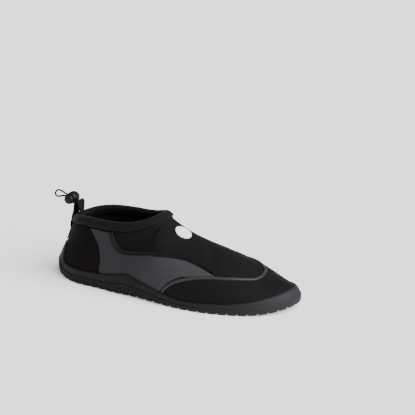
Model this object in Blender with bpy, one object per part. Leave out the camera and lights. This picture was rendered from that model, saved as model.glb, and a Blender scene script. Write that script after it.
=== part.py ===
# Water shoe for the right foot, empty and standing on its sole.
# +X points to the toe, +Y to the inner side of the foot, +Z up, in metres.
# The origin lies on the floor under the middle of the heel.

import math
from collections import namedtuple

import bmesh
import bpy
from mathutils import Vector

MM = 0.001

# The foot form
LENGTH = 258.5 * MM  # upper, heel to toe, at the sole
BALL_WIDTH = 88.4 * MM  # upper across the ball of the foot
HEEL_RADIUS = 30.0 * MM
TOE_RADIUS = 27.0 * MM
TOE_SWING = 6.0 * MM  # toe tip towards the inner side
TOE_SPRING = 6.0 * MM  # lift of the sole at the toe tip
HEEL_MIDDLE = 34.0 * MM  # from the heel's back to the origin

# The upper
WALL = 2.5 * MM
GAP = 0.3 * MM  # between neighbouring pieces
COLLAR_BACK = 14.0 * MM
COLLAR_LENGTH = 107.0 * MM
COLLAR_WIDTH = 58.0 * MM
COLLAR_SWING = 5.0 * MM  # instep crest towards the inner side
HEEL_HEIGHT = 54.5 * MM  # binding's lower edge at the back
INSTEP_HEIGHT = 73.0 * MM  # and at the front
TOE_HEIGHT = 25.3 * MM
TOE_BACK = 18.0 * MM  # from the crest's front end to the toe tip
CREST_LENGTH = LENGTH - COLLAR_BACK - COLLAR_LENGTH - TOE_BACK
HEM = 4.0 * MM  # upper's edge inside the binding

# The sole
FLOOR = 5.2 * MM
CUP_WALL = 2.0 * MM
TOE_ROOM = 0.3 * MM  # more between cup and upper round the toes
HEEL_ROOM = 0.3 * MM  # and up the back of the heel
RIB = 0.8 * MM  # lower half of the side stands out by this
CUP_HEIGHT = 21.5 * MM  # highest point of the rubber's side, at the waist
GROOVE_DEPTH = 1.6 * MM
GROOVE_WIDTH = 2.2 * MM
GROOVE_REACH = 14.0 * MM
GROOVES = 60
GROOVE_MARGIN = 7.0 * MM  # the groove's block beyond the side
MIDDLE_RIB = 20.0 * MM  # flat strip left between the grooves
INSOLE = 3.5 * MM

# Overlays and trims
OVERLAY = 0.9 * MM
TRIM_WIDTH = 5.0 * MM
TRIM_HEIGHT = 1.6 * MM
RIM_WIDTH = 3.6 * MM
RIM_HEIGHT = 1.8 * MM
BADGE_STATION = -0.511
BADGE_RISE = 0.921  # height of its middle up the section
BADGE_LENGTH = 17.8 * MM
BADGE_WIDTH = 14.0 * MM
TAB_WIDTH = 13.0 * MM
TAB_THICKNESS = 1.2 * MM

# Cord and lock
CORD_RADIUS = 0.9 * MM
STRAND = 1.1 * MM  # strand from the middle of the lock's slot
LOCK_X = 9.0 * MM
LOCK_Z = 77.4 * MM
LOCK_TILT = 21.0  # degrees, cord against the floor
LOCK_RADIUS = 6.2 * MM
LOCK_LENGTH = 18.0 * MM
BUTTONHOLE_END = 9.0 * MM  # from the lock's middle, along the cord
BUTTONHOLE_LENGTH = 4.5 * MM

# Stations along one side, heel to toe: the collar ends at COLLAR_END of them
COLLAR_END = 0.46
OUTLINE_END = 0.475
COLLAR_STATIONS = 16
HEEL_STATIONS = (2.5, 3.5)  # between the others, where the rubber rises up the heel
CREST_STATIONS = 14
HEIGHT_ROWS = 9

# Half widths as shares of BALL_WIDTH
Outline = namedtuple("Outline", "along inner outer")
OUTLINE = (
    Outline(0.06, 0.266, 0.271),
    Outline(0.13, 0.339, 0.356),
    Outline(0.25, 0.351, 0.396),
    Outline(0.40, 0.328, 0.458),
    Outline(0.52, 0.373, 0.509),
    Outline(0.63, 0.452, 0.529),
    Outline(0.72, 0.492, 0.509),
    Outline(0.81, 0.492, 0.447),
    Outline(0.89, 0.436, 0.351),
    Outline(0.95, 0.334, 0.221),
)

# Lift of the sole's underside as a share of TOE_SPRING, height of its side as a share of CUP_HEIGHT
Sole = namedtuple("Sole", "along lift side")
SOLE = (
    Sole(0.000, 1.13, 1.220),
    Sole(0.012, 0.84, 1.280),
    Sole(0.020, 0.67, 1.320),
    Sole(0.027, 0.55, 1.220),
    Sole(0.035, 0.43, 0.960),
    Sole(0.043, 0.33, 0.820),
    Sole(0.060, 0.19, 0.745),
    Sole(0.110, 0.00, 0.735),
    Sole(0.240, 0.00, 0.767),
    Sole(0.300, 0.00, 0.875),
    Sole(0.355, 0.09, 1.000),
    Sole(0.430, 0.20, 0.800),
    Sole(0.500, 0.16, 0.617),
    Sole(0.560, 0.09, 0.475),
    Sole(0.620, 0.03, 0.405),
    Sole(0.700, 0.00, 0.440),
    Sole(0.800, 0.02, 0.510),
    Sole(0.880, 0.13, 0.605),
    Sole(0.940, 0.37, 0.697),
    Sole(1.000, 1.00, 0.707),
)

# Height between HEEL_HEIGHT and INSTEP_HEIGHT, and lean of the wall in degrees, round the collar
Collar = namedtuple("Collar", "round height lean")
COLLAR = (
    Collar(0.00, 0.000, 22.0),
    Collar(0.15, 0.090, 21.0),
    Collar(0.28, 0.260, 20.0),
    Collar(0.38, 0.325, 20.0),
    Collar(0.50, 0.335, 20.0),
    Collar(0.60, 0.360, 24.0),
    Collar(0.70, 0.490, 30.0),
    Collar(0.80, 0.710, 39.0),
    Collar(0.90, 0.900, 50.0),
    Collar(0.96, 0.980, 58.0),
    Collar(1.00, 1.000, 62.0),
)

# Height between TOE_HEIGHT and INSTEP_HEIGHT along CREST_LENGTH
Crest = namedtuple("Crest", "along height")
CREST = (
    Crest(0.00, 1.000),
    Crest(0.08, 0.870),
    Crest(0.17, 0.750),
    Crest(0.30, 0.617),
    Crest(0.48, 0.478),
    Crest(0.62, 0.366),
    Crest(0.74, 0.225),
    Crest(0.84, 0.100),
    Crest(0.92, 0.040),
    Crest(1.00, 0.000),
)

# Handles of each section as shares of its height: up from the sole and out, then in and down at the top
Section = namedtuple("Section", "station rise flare reach drop")
OUTER_SECTIONS = (
    Section(0.00, 0.22, 0.040, 0.22, 0.50),
    Section(0.10, 0.23, 0.045, 0.27, 0.49),
    Section(0.20, 0.36, 0.070, 0.52, 0.43),
    Section(0.40, 0.40, 0.03, 0.60, 0.28),
    Section(0.46, 0.41, 0.02, 0.60, 0.08),
    Section(0.52, 0.42, 0.02, 0.58, 0.06),
    Section(0.70, 0.44, 0.05, 0.58, 0.05),
    Section(0.90, 0.50, 0.06, 0.47, 0.03),
    Section(1.00, 0.50, 0.07, 0.42, 0.03),
)
INNER_SECTIONS = (
    Section(0.00, 0.22, 0.040, 0.22, 0.50),
    Section(0.10, 0.23, 0.045, 0.27, 0.49),
    Section(0.20, 0.36, 0.070, 0.52, 0.43),
    Section(0.40, 0.45, 0.04, 0.60, 0.28),
    Section(0.46, 0.50, 0.03, 0.60, 0.08),
    Section(0.52, 0.52, 0.03, 0.60, 0.06),
    Section(0.70, 0.50, 0.05, 0.57, 0.05),
    Section(0.90, 0.50, 0.06, 0.44, 0.03),
    Section(1.00, 0.50, 0.07, 0.42, 0.03),
)

# Lines over the upper: station from heel to toe, height up the section
Line = namedtuple("Line", "station height")
COUNTER_SEAM = (
    Line(0.166, 1.000),
    Line(0.181, 0.908),
    Line(0.204, 0.792),
    Line(0.226, 0.637),
    Line(0.245, 0.412),
    Line(0.252, 0.188),
    Line(0.254, 0.000),
)
TRIM_LINE = (
    Line(0.242, 0.975),
    Line(0.257, 0.867),
    Line(0.280, 0.746),
    Line(0.304, 0.662),
    Line(0.330, 0.625),
    Line(0.360, 0.588),
    Line(0.405, 0.529),
    Line(0.462, 0.470),
    Line(0.488, 0.512),
    Line(0.511, 0.554),
    Line(0.539, 0.592),
    Line(0.565, 0.608),
    Line(0.586, 0.604),
    Line(0.605, 0.592),
    Line(0.625, 0.570),
    Line(0.643, 0.545),
)
OUTER_RIM = (
    Line(0.505, 0.079),
    Line(0.518, 0.175),
    Line(0.544, 0.287),
    Line(0.580, 0.383),
    Line(0.601, 0.425),
    Line(0.650, 0.496),
    Line(0.681, 0.529),
    Line(0.739, 0.633),
    Line(0.772, 0.713),
    Line(0.795, 0.825),
    Line(0.809, 0.930),
    Line(0.813, 1.000),
)
INNER_RIM = (
    Line(0.505, 0.079),
    Line(0.518, 0.175),
    Line(0.544, 0.287),
    Line(0.580, 0.383),
    Line(0.620, 0.445),
    Line(0.665, 0.520),
    Line(0.708, 0.610),
    Line(0.740, 0.690),
    Line(0.772, 0.780),
    Line(0.797, 0.890),
    Line(0.813, 1.000),
)
# Ends of the side panel's rungs: share of the way down its back edge, then along the trim
Rung = namedtuple("Rung", "back_station back_height trim_share")
SIDE_PANEL = (
    Rung(0.172, 0.985, 0.000),
    Rung(0.187, 0.915, 0.050),
    Rung(0.211, 0.800, 0.130),
    Rung(0.233, 0.640, 0.200),
    Rung(0.252, 0.415, 0.270),
    Rung(0.259, 0.190, 0.330),
    Rung(0.300, 0.000, 0.380),
    Rung(0.352, 0.000, 0.430),
    Rung(0.405, 0.000, 0.475),
    Rung(0.455, 0.000, 0.525),
    Rung(0.488, 0.000, 0.575),
    Rung(0.508, 0.250, 0.627),
    Rung(0.536, 0.350, 0.680),
    Rung(0.571, 0.437, 0.763),
    Rung(0.595, 0.482, 0.840),
    Rung(0.610, 0.510, 0.930),
)

# The binding's cross-section, outwards and up from its lower edge on the upper's outside, clockwise
Bead = namedtuple("Bead", "out up")
BINDING = (
    Bead(0.3, 0.0), Bead(1.7, 0.2), Bead(2.3, 2.0), Bead(2.3, 5.2), Bead(1.3, 8.2), Bead(-1.2, 9.5),
    Bead(-3.8, 8.2), Bead(-4.8, 5.2), Bead(-4.8, 2.0), Bead(-4.2, 0.2), Bead(-2.8, 0.0), Bead(-2.8, 4.4),
    Bead(0.3, 4.4),
)

# The pull tab's middle line above the rubber: over the binding, up into the loop and down inside
Tape = namedtuple("Tape", "x z freedom")  # freedom 0 follows the collar's curve, 1 hangs straight
TAPE = (
    Tape(11.4, 56.3, 0.0),
    Tape(11.9, 60.1, 0.0),
    Tape(12.7, 64.2, 0.1),
    Tape(13.8, 68.4, 0.4),
    Tape(15.0, 72.2, 0.8),
    Tape(16.4, 75.3, 1.0),
    Tape(18.1, 76.4, 1.0),
    Tape(19.9, 75.0, 1.0),
    Tape(20.9, 71.0, 0.8),
    Tape(21.4, 66.3, 0.4),
    Tape(22.1, 61.6, 0.1),
    Tape(21.8, 57.3, 0.0),
    Tape(20.4, 53.7, 0.0),
)

# The cord's closed path from the lock's middle: along the cord, and up across it
Cord = namedtuple("Cord", "along across")
CORD = (
    Cord(-8.6, 0.0), Cord(-7.9, 0.9), Cord(-6.4, 1.1), Cord(-3.5, 1.1), Cord(0.0, 1.1), Cord(5.0, 1.1),
    Cord(7.2, 0.9), Cord(9.4, 0.9), Cord(11.8, 1.2), Cord(14.0, 1.2), Cord(16.4, 0.5), Cord(18.2, -1.1),
    Cord(19.0, -3.1), Cord(18.9, -5.1), Cord(17.9, -6.4), Cord(16.2, -6.8), Cord(14.0, -5.9), Cord(11.8, -4.3),
    Cord(9.4, -2.5), Cord(7.2, -1.4), Cord(5.0, -1.1), Cord(0.0, -1.1), Cord(-3.5, -1.1), Cord(-6.4, -1.1),
    Cord(-7.9, -0.9),
)

# Turned outlines of the lock, radius and height along its axis as shares of LOCK_RADIUS and LOCK_LENGTH
Turned = namedtuple("Turned", "radius height")
LOCK_BODY = (
    Turned(0.00, -0.50), Turned(0.52, -0.48), Turned(0.88, -0.39), Turned(1.00, -0.22), Turned(0.98, 0.00),
    Turned(0.84, 0.13), Turned(0.70, 0.17), Turned(0.00, 0.17),
)
LOCK_BUTTON = (
    Turned(0.00, 0.19), Turned(0.66, 0.19), Turned(0.80, 0.25), Turned(0.80, 0.36), Turned(0.58, 0.47),
    Turned(0.00, 0.50),
)

COLORS = {
    "rubber": (0.050, 0.045, 0.052, 1.0),
    "black": (0.020, 0.019, 0.022, 1.0),
    "counter": (0.030, 0.024, 0.028, 1.0),
    "grey": (0.130, 0.120, 0.130, 1.0),
    "binding": (0.035, 0.036, 0.045, 1.0),
    "rim": (0.300, 0.290, 0.300, 1.0),
    "white": (0.850, 0.850, 0.840, 1.0),
}


def between(xs, ys, x):
    """Smooth curve through the points, flat beyond its ends and at its highest and lowest points."""
    last = len(xs) - 1
    if x <= xs[0]:
        return ys[0]
    if x >= xs[last]:
        return ys[last]
    i = max(k for k in range(last) if xs[k] <= x)
    steps = [(ys[k + 1] - ys[k]) / (xs[k + 1] - xs[k]) for k in range(last)]

    def slope(k):
        if k in (0, last):
            return steps[min(k, last - 1)]
        if steps[k - 1] * steps[k] <= 0:
            return 0.0
        before, after = xs[k] - xs[k - 1], xs[k + 1] - xs[k]
        return (steps[k - 1] * after + steps[k] * before) / (before + after)

    width = xs[i + 1] - xs[i]
    t = (x - xs[i]) / width
    rise = ys[i] + (ys[i + 1] - ys[i]) * t * t * (3 - 2 * t)
    return rise + width * (slope(i) * t * (1 - t) ** 2 - slope(i + 1) * t * t * (1 - t))


def column(table, name, x):
    return between([row[0] for row in table], [getattr(row, name) for row in table], x)


def solve(reading, target, low, high):
    """Where a rising reading meets the target."""
    for _ in range(26):
        middle = (low + high) / 2
        if reading(middle) < target:
            low = middle
        else:
            high = middle
    return (low + high) / 2


def mix(a, b, share):
    return a + (b - a) * share


def turn_at(along):
    return math.acos(1 - 2 * along) / math.pi


def outline_turn(station):
    """Share of the half outline's turn for a station."""
    if station > COLLAR_END:
        return mix(OUTLINE_END, 1.0, (station - COLLAR_END) / (1 - COLLAR_END))
    share = station / COLLAR_END
    return OUTLINE_END * share * (1 + 0.48 * (1 - share))


def swing(along):
    return TOE_SWING * max(0.0, (along - 0.45) / 0.55) ** 2.2


def outline(w):
    """Plan of the upper at the sole; w runs from -1, toe, over the outer side and 0, heel, to 1, toe."""
    side = -1 if w < 0 else 1
    turn = outline_turn(min(abs(w), 1.0))
    turns, sizes = [0.0], [math.sqrt(HEEL_RADIUS * LENGTH / 2)]
    for row in OUTLINE:
        half = BALL_WIDTH * (row.inner if side > 0 else row.outer) - side * swing(row.along)
        turns.append(turn_at(row.along))
        sizes.append(half / math.sin(math.pi * turns[-1]))
    turns.append(1.0)
    sizes.append(math.sqrt(TOE_RADIUS * LENGTH / 2))
    along = (1 - math.cos(math.pi * turn)) / 2
    half = between(turns, sizes, turn) * math.sin(math.pi * turn)
    return Vector((along * LENGTH, swing(along) + side * half, 0.0))


def outward(w):
    """Level direction out of the outline."""
    if abs(w) < 1e-4:
        return Vector((-1.0, 0.0, 0.0))
    if abs(w) > 1 - 1e-4:
        return Vector((1.0, 0.0, 0.0))
    ahead = outline(w + 1e-4) - outline(w - 1e-4)
    return Vector((-ahead.y, ahead.x, 0.0)).normalized()


def underside(x):
    return TOE_SPRING * column(SOLE, "lift", x / LENGTH)


def rubber_top(w):
    x = outline(w).x
    return underside(x) + CUP_HEIGHT * column(SOLE, "side", x / LENGTH)


def collar_share(w):
    return min(abs(w) / COLLAR_END, 1.0)


def collar_point(w):
    """The binding's lower edge on the upper's outside."""
    side = -1 if w < 0 else 1
    share = collar_share(w)
    x = COLLAR_BACK + COLLAR_LENGTH * (1 - math.cos(math.pi * share)) / 2
    y = COLLAR_WIDTH / 2 * max(math.sin(math.pi * share), 0.0) ** mix(1.0, 0.9, share)
    z = mix(HEEL_HEIGHT, INSTEP_HEIGHT, column(COLLAR, "height", share))
    return Vector((x, side * y + COLLAR_SWING * share**3, z))


def collar_frame(w):
    """Directions out of and up the wall at the collar."""
    side = -1 if w < 0 else 1
    share = collar_share(w)
    step = 0.002
    if share < step or share > 1 - step:
        along = Vector((0.0, 1.0 if share < step else -1.0, 0.0)) * side
    else:
        along = (collar_point(w + side * step) - collar_point(w - side * step)).normalized()
    flat = Vector((-side * along.y, side * along.x, 0.0)).normalized()
    lean = math.radians(column(COLLAR, "lean", share))
    out = flat * math.cos(lean) + Vector((0.0, 0.0, math.sin(lean)))
    out = (out - along * out.dot(along)).normalized()
    up = out.cross(along)
    return out, (up if up.z > 0 else -up).normalized()


def crest_point(w):
    share = math.sin(math.pi / 2 * (abs(w) - COLLAR_END) / (1 - COLLAR_END))
    z = mix(TOE_HEIGHT, INSTEP_HEIGHT, column(CREST, "height", share))
    return Vector((COLLAR_BACK + COLLAR_LENGTH + CREST_LENGTH * share, mix(COLLAR_SWING, TOE_SWING, share), z))


def surface(w, t):
    """The upper's outside: t runs from 0 at the sole to 1 at the binding or the crest."""
    low = outline(w)
    low.z = underside(low.x) + FLOOR + GAP
    high = collar_point(w) if abs(w) <= COLLAR_END else crest_point(w)
    table = OUTER_SECTIONS if w < 0 else INNER_SECTIONS
    rise, flare, reach, drop = (column(table, name, abs(w)) for name in Section._fields[1:])
    height = high.z - low.z
    first = low + Vector((0.0, 0.0, rise * height)) + outward(w) * flare * height
    second = high + (low - high) * reach
    second.z = high.z - drop * height
    m = 1 - t
    return low * m**3 + first * 3 * m * m * t + second * 3 * m * t * t + high * t**3


def height_share(w, z):
    """Share of the section at that height over the floor."""
    return solve(lambda t: surface(w, t).z, z, 0.0, 1.0)


def slopes(w, t):
    """Steps of the surface for w and t."""
    step = 1e-3
    middle = max(min(w, 1 - step), step - 1)
    t = min(max(t, step), 1 - step)
    return (
        (surface(middle + step, t) - surface(middle - step, t)) / (2 * step),
        (surface(w, t + step) - surface(w, t - step)) / (2 * step),
    )


def facing(w, t):
    """Direction out of the upper."""
    across, up = slopes(w, t)
    return up.cross(across).normalized()


def shifted(w, t, far):
    """Surface place reached from (w, t) by a short vector."""
    a, b = slopes(w, t)
    aa, ab, bb = a.dot(a), a.dot(b), b.dot(b)
    fa, fb = far.dot(a), far.dot(b)
    size = aa * bb - ab * ab
    return w + (fa * bb - fb * ab) / size, t + (fb * aa - fa * ab) / size


def stations():
    """One side's stations, heel to toe."""
    collar = [COLLAR_END * k / COLLAR_STATIONS for k in sorted((*range(COLLAR_STATIONS), *HEEL_STATIONS))]
    crest = [mix(COLLAR_END, 1.0, k / CREST_STATIONS) for k in range(CREST_STATIONS + 1)]
    return collar + crest


def all_round():
    side = stations()
    return [-w for w in reversed(side[1:])] + side


def line_at(table, side, share):
    """Place on the upper at that share of a line's rows."""
    place = share * (len(table) - 1)
    rows = list(range(len(table)))
    w = between(rows, [row.station for row in table], place)
    return side * w, between(rows, [row.height for row in table], place)


def beside(table, side, share, far):
    """Place beside a line, towards the sole when far is above zero."""
    w, t = line_at(table, side, share)
    step = 0.01
    ahead = surface(*line_at(table, side, min(share + step, 1.0)))
    behind = surface(*line_at(table, side, max(share - step, 0.0)))
    across = (ahead - behind).normalized().cross(facing(w, t)) * -side
    return shifted(w, t, across * far)


def add_object(name, points, faces, color):
    """Closed piece from points and faces."""
    mesh = bpy.data.meshes.new(name)
    work = bmesh.new()
    corners = [work.verts.new((p[0] - HEEL_MIDDLE, p[1], p[2])) for p in points]
    for face in faces:
        work.faces.new([corners[k] for k in face])
    loose = [v for v in work.verts if not v.link_faces]
    bmesh.ops.delete(work, geom=loose, context="VERTS")
    bmesh.ops.recalc_face_normals(work, faces=work.faces)
    work.to_mesh(mesh)
    work.free()
    piece = bpy.data.objects.new(name, mesh)
    bpy.context.scene.collection.objects.link(piece)
    material = bpy.data.materials.new(name)
    material.use_nodes = True
    shader = next(node for node in material.node_tree.nodes if node.type == "BSDF_PRINCIPLED")
    shader.inputs["Base Color"].default_value = COLORS[color]
    shader.inputs["Roughness"].default_value = 0.7
    mesh.materials.append(material)
    return piece


def joined(columns, around=False, closed=False):
    """Points and faces of neighbouring columns of points; equal points become one."""
    points, known, index = [], {}, []
    for line in columns:
        row = []
        for p in line:
            key = None if p is None else tuple(round(c / (0.01 * MM)) for c in p)
            if key is not None and key not in known:
                known[key] = len(points)
                points.append(Vector(p))
            row.append(None if key is None else known[key])
        index.append(row)
    faces = []
    count = len(index)
    for i in range(count if around else count - 1):
        left, right = index[i], index[(i + 1) % count]
        for j in range(len(left) if closed else len(left) - 1):
            k = (j + 1) % len(left)
            corners = [left[j], right[j], right[k], left[k]]
            if None in corners:
                continue
            face = [c for n, c in enumerate(corners) if c != corners[n - 1]]
            if len(set(face)) > 2:
                faces.append(face)
    return points, faces


def normals_of(points, faces):
    """Direction out of the shoe at each point."""
    middle = Vector((LENGTH * 0.45, 0.0, INSTEP_HEIGHT / 3))
    sums = [Vector((0.0, 0.0, 0.0)) for _ in points]
    towards = 0.0
    for face in faces:
        a, c = points[face[0]], points[face[2]]
        b, d = points[face[1]], points[face[-1]]
        area = (c - a).cross(d - b) if len(face) == 4 else (b - a).cross(c - a)
        towards += area.dot(a - middle)
        for k in face:
            sums[k] += area
    return [(s if towards > 0 else -s).normalized() for s in sums]


def add_sheet(name, columns, low, high, color, around=False, fixed=None):
    """Closed sheet between two distances from the columns' surface."""
    points, faces = joined(columns, around)
    normals = normals_of(points, faces)
    for k, p in enumerate(points):
        if fixed:
            normals[k] = fixed(p) or normals[k]
    count = len(points)
    outside = [p + n * high for p, n in zip(points, normals)]
    inside = [p + n * low for p, n in zip(points, normals)]
    body = faces + [[k + count for k in reversed(face)] for face in faces]
    edges = {}
    for face in faces:
        for n, k in enumerate(face):
            edges[(face[n - 1], k)] = True
    for a, b in edges:
        if (b, a) not in edges:
            body.append([b, a, a + count, b + count])
    return add_object(name, outside + inside, body, color)


def cut(piece, name, solids):
    """Cuts the closed solids, each given as points and faces, out of a piece."""
    points, faces = [], []
    for corners, sides in solids:
        faces += [[k + len(points) for k in side] for side in sides]
        points += corners
    tool = add_object(name, points, faces, "black")
    tool.hide_render = True
    tool.display_type = "WIRE"
    step = piece.modifiers.new(name, "BOOLEAN")
    step.operation = "DIFFERENCE"
    step.solver = "EXACT"
    step.object = tool
    return tool


def prism(corners, along):
    """Points and faces of a level-sided block: corners are moved by a vector."""
    count = len(corners)
    points = [Vector(p) - along / 2 for p in corners] + [Vector(p) + along / 2 for p in corners]
    faces = [list(range(count)), [count + k for k in reversed(range(count))]]
    faces += [[k, (k + 1) % count, count + (k + 1) % count, count + k] for k in range(count)]
    return points, faces


def build_upper():
    columns, frames = [], {}
    for w in all_round():
        line = [surface(w, k / HEIGHT_ROWS) for k in range(HEIGHT_ROWS + 1)]
        if abs(w) <= COLLAR_END + 1e-6:
            out, up = collar_frame(w)
            line.append(line[-1] + up * HEM)
            for p in line[-2:]:
                frames[tuple(round(c / (0.01 * MM)) for c in p)] = out
        else:
            line.append(None)
        columns.append(line)
    add_sheet(
        "upper", columns, -WALL, 0.0, "black", fixed=lambda p: frames.get(tuple(round(c / (0.01 * MM)) for c in p))
    )


def sole_column(w):
    """The cup's closed outline at w, from the middle of its underside round to the middle of its floor."""
    along = (1 - math.cos(math.pi * outline_turn(abs(w)))) / 2
    axis = Vector((LENGTH * (0.06 + 0.88 * along), swing(0.06 + 0.88 * along), 0.0))
    axis.z = underside(axis.x)
    foot, out = outline(w), outward(w)
    foot.z = underside(foot.x)
    top = rubber_top(w)
    half = foot.z + 0.52 * min(top - foot.z, CUP_HEIGHT)
    ribbed = GAP + CUP_WALL + RIB

    def wall(z, far):
        low = max(z, foot.z + FLOOR + GAP)
        t = solve(lambda v: (surface(w, v) + facing(w, v) * far).z, low, 0.0, 1.0)
        p = surface(w, t) + facing(w, t) * far
        p.z = z
        return p

    edge = foot + out * (ribbed - 1.2 * MM)
    line = [axis, mix(axis, edge, 0.6), edge, foot + out * ribbed]
    line[1].z = underside(line[1].x)
    line[3].z += 1.5 * MM
    line += [wall(half - 0.5 * MM, ribbed), wall(half, GAP + CUP_WALL)]
    line += [wall(top - 0.7 * MM, GAP + CUP_WALL), wall(top, GAP + CUP_WALL - 0.6 * MM)]
    floor = foot.z + FLOOR
    room = GAP + TOE_ROOM * max(0.0, abs(w) - 0.75) / 0.25 + HEEL_ROOM * max(0.0, 0.12 - abs(w)) / 0.12
    line += [wall(mix(top, floor, share), room) for share in (0.0, 0.25, 0.5, 0.75, 1.0)]
    inside = axis + Vector((0.0, 0.0, FLOOR))
    low = mix(inside, line[-1], 0.6)
    low.z = underside(low.x) + FLOOR
    return line + [low, inside]


def groove(w):
    """One groove's block: across the side's ribs and in under the sole."""
    foot, out = outline(w), outward(w)
    half = abs(foot.y - swing(foot.x / LENGTH))
    reach = GROOVE_REACH
    if abs(out.y) > 0.5:
        reach = min(reach, (half - MIDDLE_RIB / 2) / abs(out.y))
    deep = foot - out * reach
    face = GAP + CUP_WALL + 0.25 * MM
    low = underside(foot.x)
    side = low + 0.52 * min(rubber_top(w) - low, CUP_HEIGHT) + 1.0 * MM
    outer = foot + out * GROOVE_MARGIN
    step = foot + out * face

    def at(p, z):
        return Vector((p.x, p.y, z))

    corners = [
        at(outer, -3 * MM), at(outer, side), at(step, side), at(step, low + GROOVE_DEPTH),
        at(deep, underside(deep.x) + GROOVE_DEPTH), at(deep, -3 * MM),
    ]
    return prism(corners, Vector((-out.y, out.x, 0.0)) * GROOVE_WIDTH)


def build_sole():
    points, faces = joined([sole_column(w) for w in all_round()[:-1]], around=True)
    sole = add_object("outsole", points, faces, "rubber")
    samples = [-1 + 2 * k / 800 for k in range(801)]
    places = [outline(w) for w in samples]
    lengths = [0.0]
    for a, b in zip(places, places[1:]):
        lengths.append(lengths[-1] + (b - a).length)
    blocks = []
    for k in range(GROOVES):
        target = lengths[-1] * (k + 0.5) / GROOVES
        n = max(i for i in range(len(lengths)) if lengths[i] <= target)
        blocks.append(groove(samples[n]))
    cut(sole, "tread_grooves", blocks)


def build_insole():
    columns = []
    for w in all_round()[:-1]:
        along = (1 - math.cos(math.pi * outline_turn(abs(w)))) / 2
        axis = Vector((LENGTH * (0.08 + 0.84 * along), swing(0.08 + 0.84 * along), 0.0))
        axis.z = underside(axis.x) + FLOOR + GAP
        up = Vector((0.0, 0.0, INSOLE))
        line = [axis]
        for z in (0.0, INSOLE):
            z += underside(outline(w).x) + FLOOR + GAP
            t = height_share(w, z)
            p = surface(w, t) - facing(w, max(t, 0.02)) * (WALL + GAP + 0.6 * MM)
            line.append(Vector((p.x, p.y, z)))
        columns.append(line + [axis + up])
    points, faces = joined(columns, around=True)
    add_object("insole", points, faces, "grey")


def collar_stations():
    return [w for w in all_round() if abs(w) <= COLLAR_END + 1e-6][:-1]


def build_binding():
    columns = []
    for w in collar_stations():
        base = collar_point(w)
        out, up = collar_frame(w)
        columns.append([base + out * bead.out * MM + up * bead.up * MM for bead in BINDING])
    points, faces = joined(columns, around=True, closed=True)
    add_object("collar_binding", points, faces, "binding")


def build_counter():
    seam = COUNTER_SEAM[:-1]
    half = [w for w in stations() if w < seam[0].station] + [row.station for row in seam]
    columns = []
    for w in [-w for w in reversed(half[1:])] + half:
        low = height_share(w, rubber_top(w) + GAP)
        high = max(min(column(COUNTER_SEAM, "height", abs(w)) if abs(w) > seam[0].station else 1.0, 0.985), low + 0.004)
        columns.append([surface(w, mix(low, high, j / 6)) for j in range(7)])
    add_sheet("heel_counter", columns, GAP, GAP + OVERLAY, "counter")


def build_side(side, name):
    """Grey panel and its trim on one side."""
    columns, count = [], 26
    rows = list(range(len(SIDE_PANEL)))
    for k in range(count + 1):
        place = (len(rows) - 1) * k / count
        w = side * between(rows, [row.back_station for row in SIDE_PANEL], place)
        t = between(rows, [row.back_height for row in SIDE_PANEL], place)
        t = max(t, height_share(w, rubber_top(w) + GAP))
        share = between(rows, [row.trim_share for row in SIDE_PANEL], place)
        end = beside(TRIM_LINE, side, share, TRIM_WIDTH / 2 + GAP)
        end = (end[0], min(end[1], 0.985))
        line = []
        for j in range(5):
            line.append(surface(mix(w, end[0], j / 4), mix(t, end[1], j / 4)))
        columns.append(line)
    add_sheet("side_panel_" + name, columns, GAP, GAP + OVERLAY, "grey")
    columns = []
    for k in range(27):
        share = k / 26
        line = []
        for far in (-0.5, 0.0, 0.5):
            w, t = beside(TRIM_LINE, side, share, far * TRIM_WIDTH * (1 - 0.75 * share**4))
            line.append(surface(w, min(t, 0.985)))
        columns.append(line)
    add_sheet("trim_" + name, columns, GAP, GAP + TRIM_HEIGHT, "black")


def build_toe():
    """Toe cap and the raised rim round it."""
    columns = []
    for table, side in ((OUTER_RIM, -1), (INNER_RIM, 1)):
        half, count = [], 21
        for k in range(count + 1):
            w, t = line_at(table, side, k / count)
            t = max(t, height_share(w, rubber_top(w) + GAP + RIM_WIDTH / 4))
            ahead = surface(*line_at(table, side, min(k / count + 0.01, 1.0)))
            behind = surface(*line_at(table, side, max(k / count - 0.01, 0.0)))
            out = facing(w, t)
            across = out.cross((ahead - behind).normalized()) * side
            if k == count:
                out.y, across = 0.0, Vector((1.0, 0.0, 0.0))
                out.normalize()
                across = (across - out * across.dot(out)).normalized()
            p = surface(w, t)
            half.append([p + across * RIM_WIDTH * s for s in (0.5, 0.0, -0.5)])
        columns += half if side < 0 else list(reversed(half))[1:]
    add_sheet("toe_rim", columns, GAP, GAP + RIM_HEIGHT, "rim")

    columns = []
    for table, side in ((OUTER_RIM, -1), (INNER_RIM, 1)):
        ends = [beside(table, side, k / 14, RIM_WIDTH / 2 + 2 * GAP) for k in range(15)]
        ends = [(w, t) for w, t in ends if t < 0.985]
        last = table[-1].station + 0.021
        ends += [(side * mix(last, 1.0, k / 5), 1.0) for k in range(6)]
        half = []
        for w, t in ends:
            low = height_share(w, rubber_top(w) + 1.5 * GAP)
            half.append([surface(w, mix(low, max(t, low + 0.004), j / 7)) for j in range(8)])
        columns += half if side < 0 else list(reversed(half))[1:]
    add_sheet("toe_cap", columns, GAP, GAP + OVERLAY, "black")


def build_badge():
    w, t = BADGE_STATION, BADGE_RISE
    out = facing(w, t)
    ahead = crest_point(-0.56) - crest_point(-0.50)
    ahead = (ahead - out * ahead.dot(out)).normalized()
    across = out.cross(ahead)
    columns = []
    for k in range(24):
        angle = 2 * math.pi * k / 24
        far = ahead * BADGE_LENGTH / 2 * math.cos(angle) + across * BADGE_WIDTH / 2 * math.sin(angle)
        columns.append([surface(*shifted(w, t, far * s)) for s in (0.0, 0.5, 1.0)])
    add_sheet("badge", columns, GAP, GAP + 1.2 * MM, "white", around=True)


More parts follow.
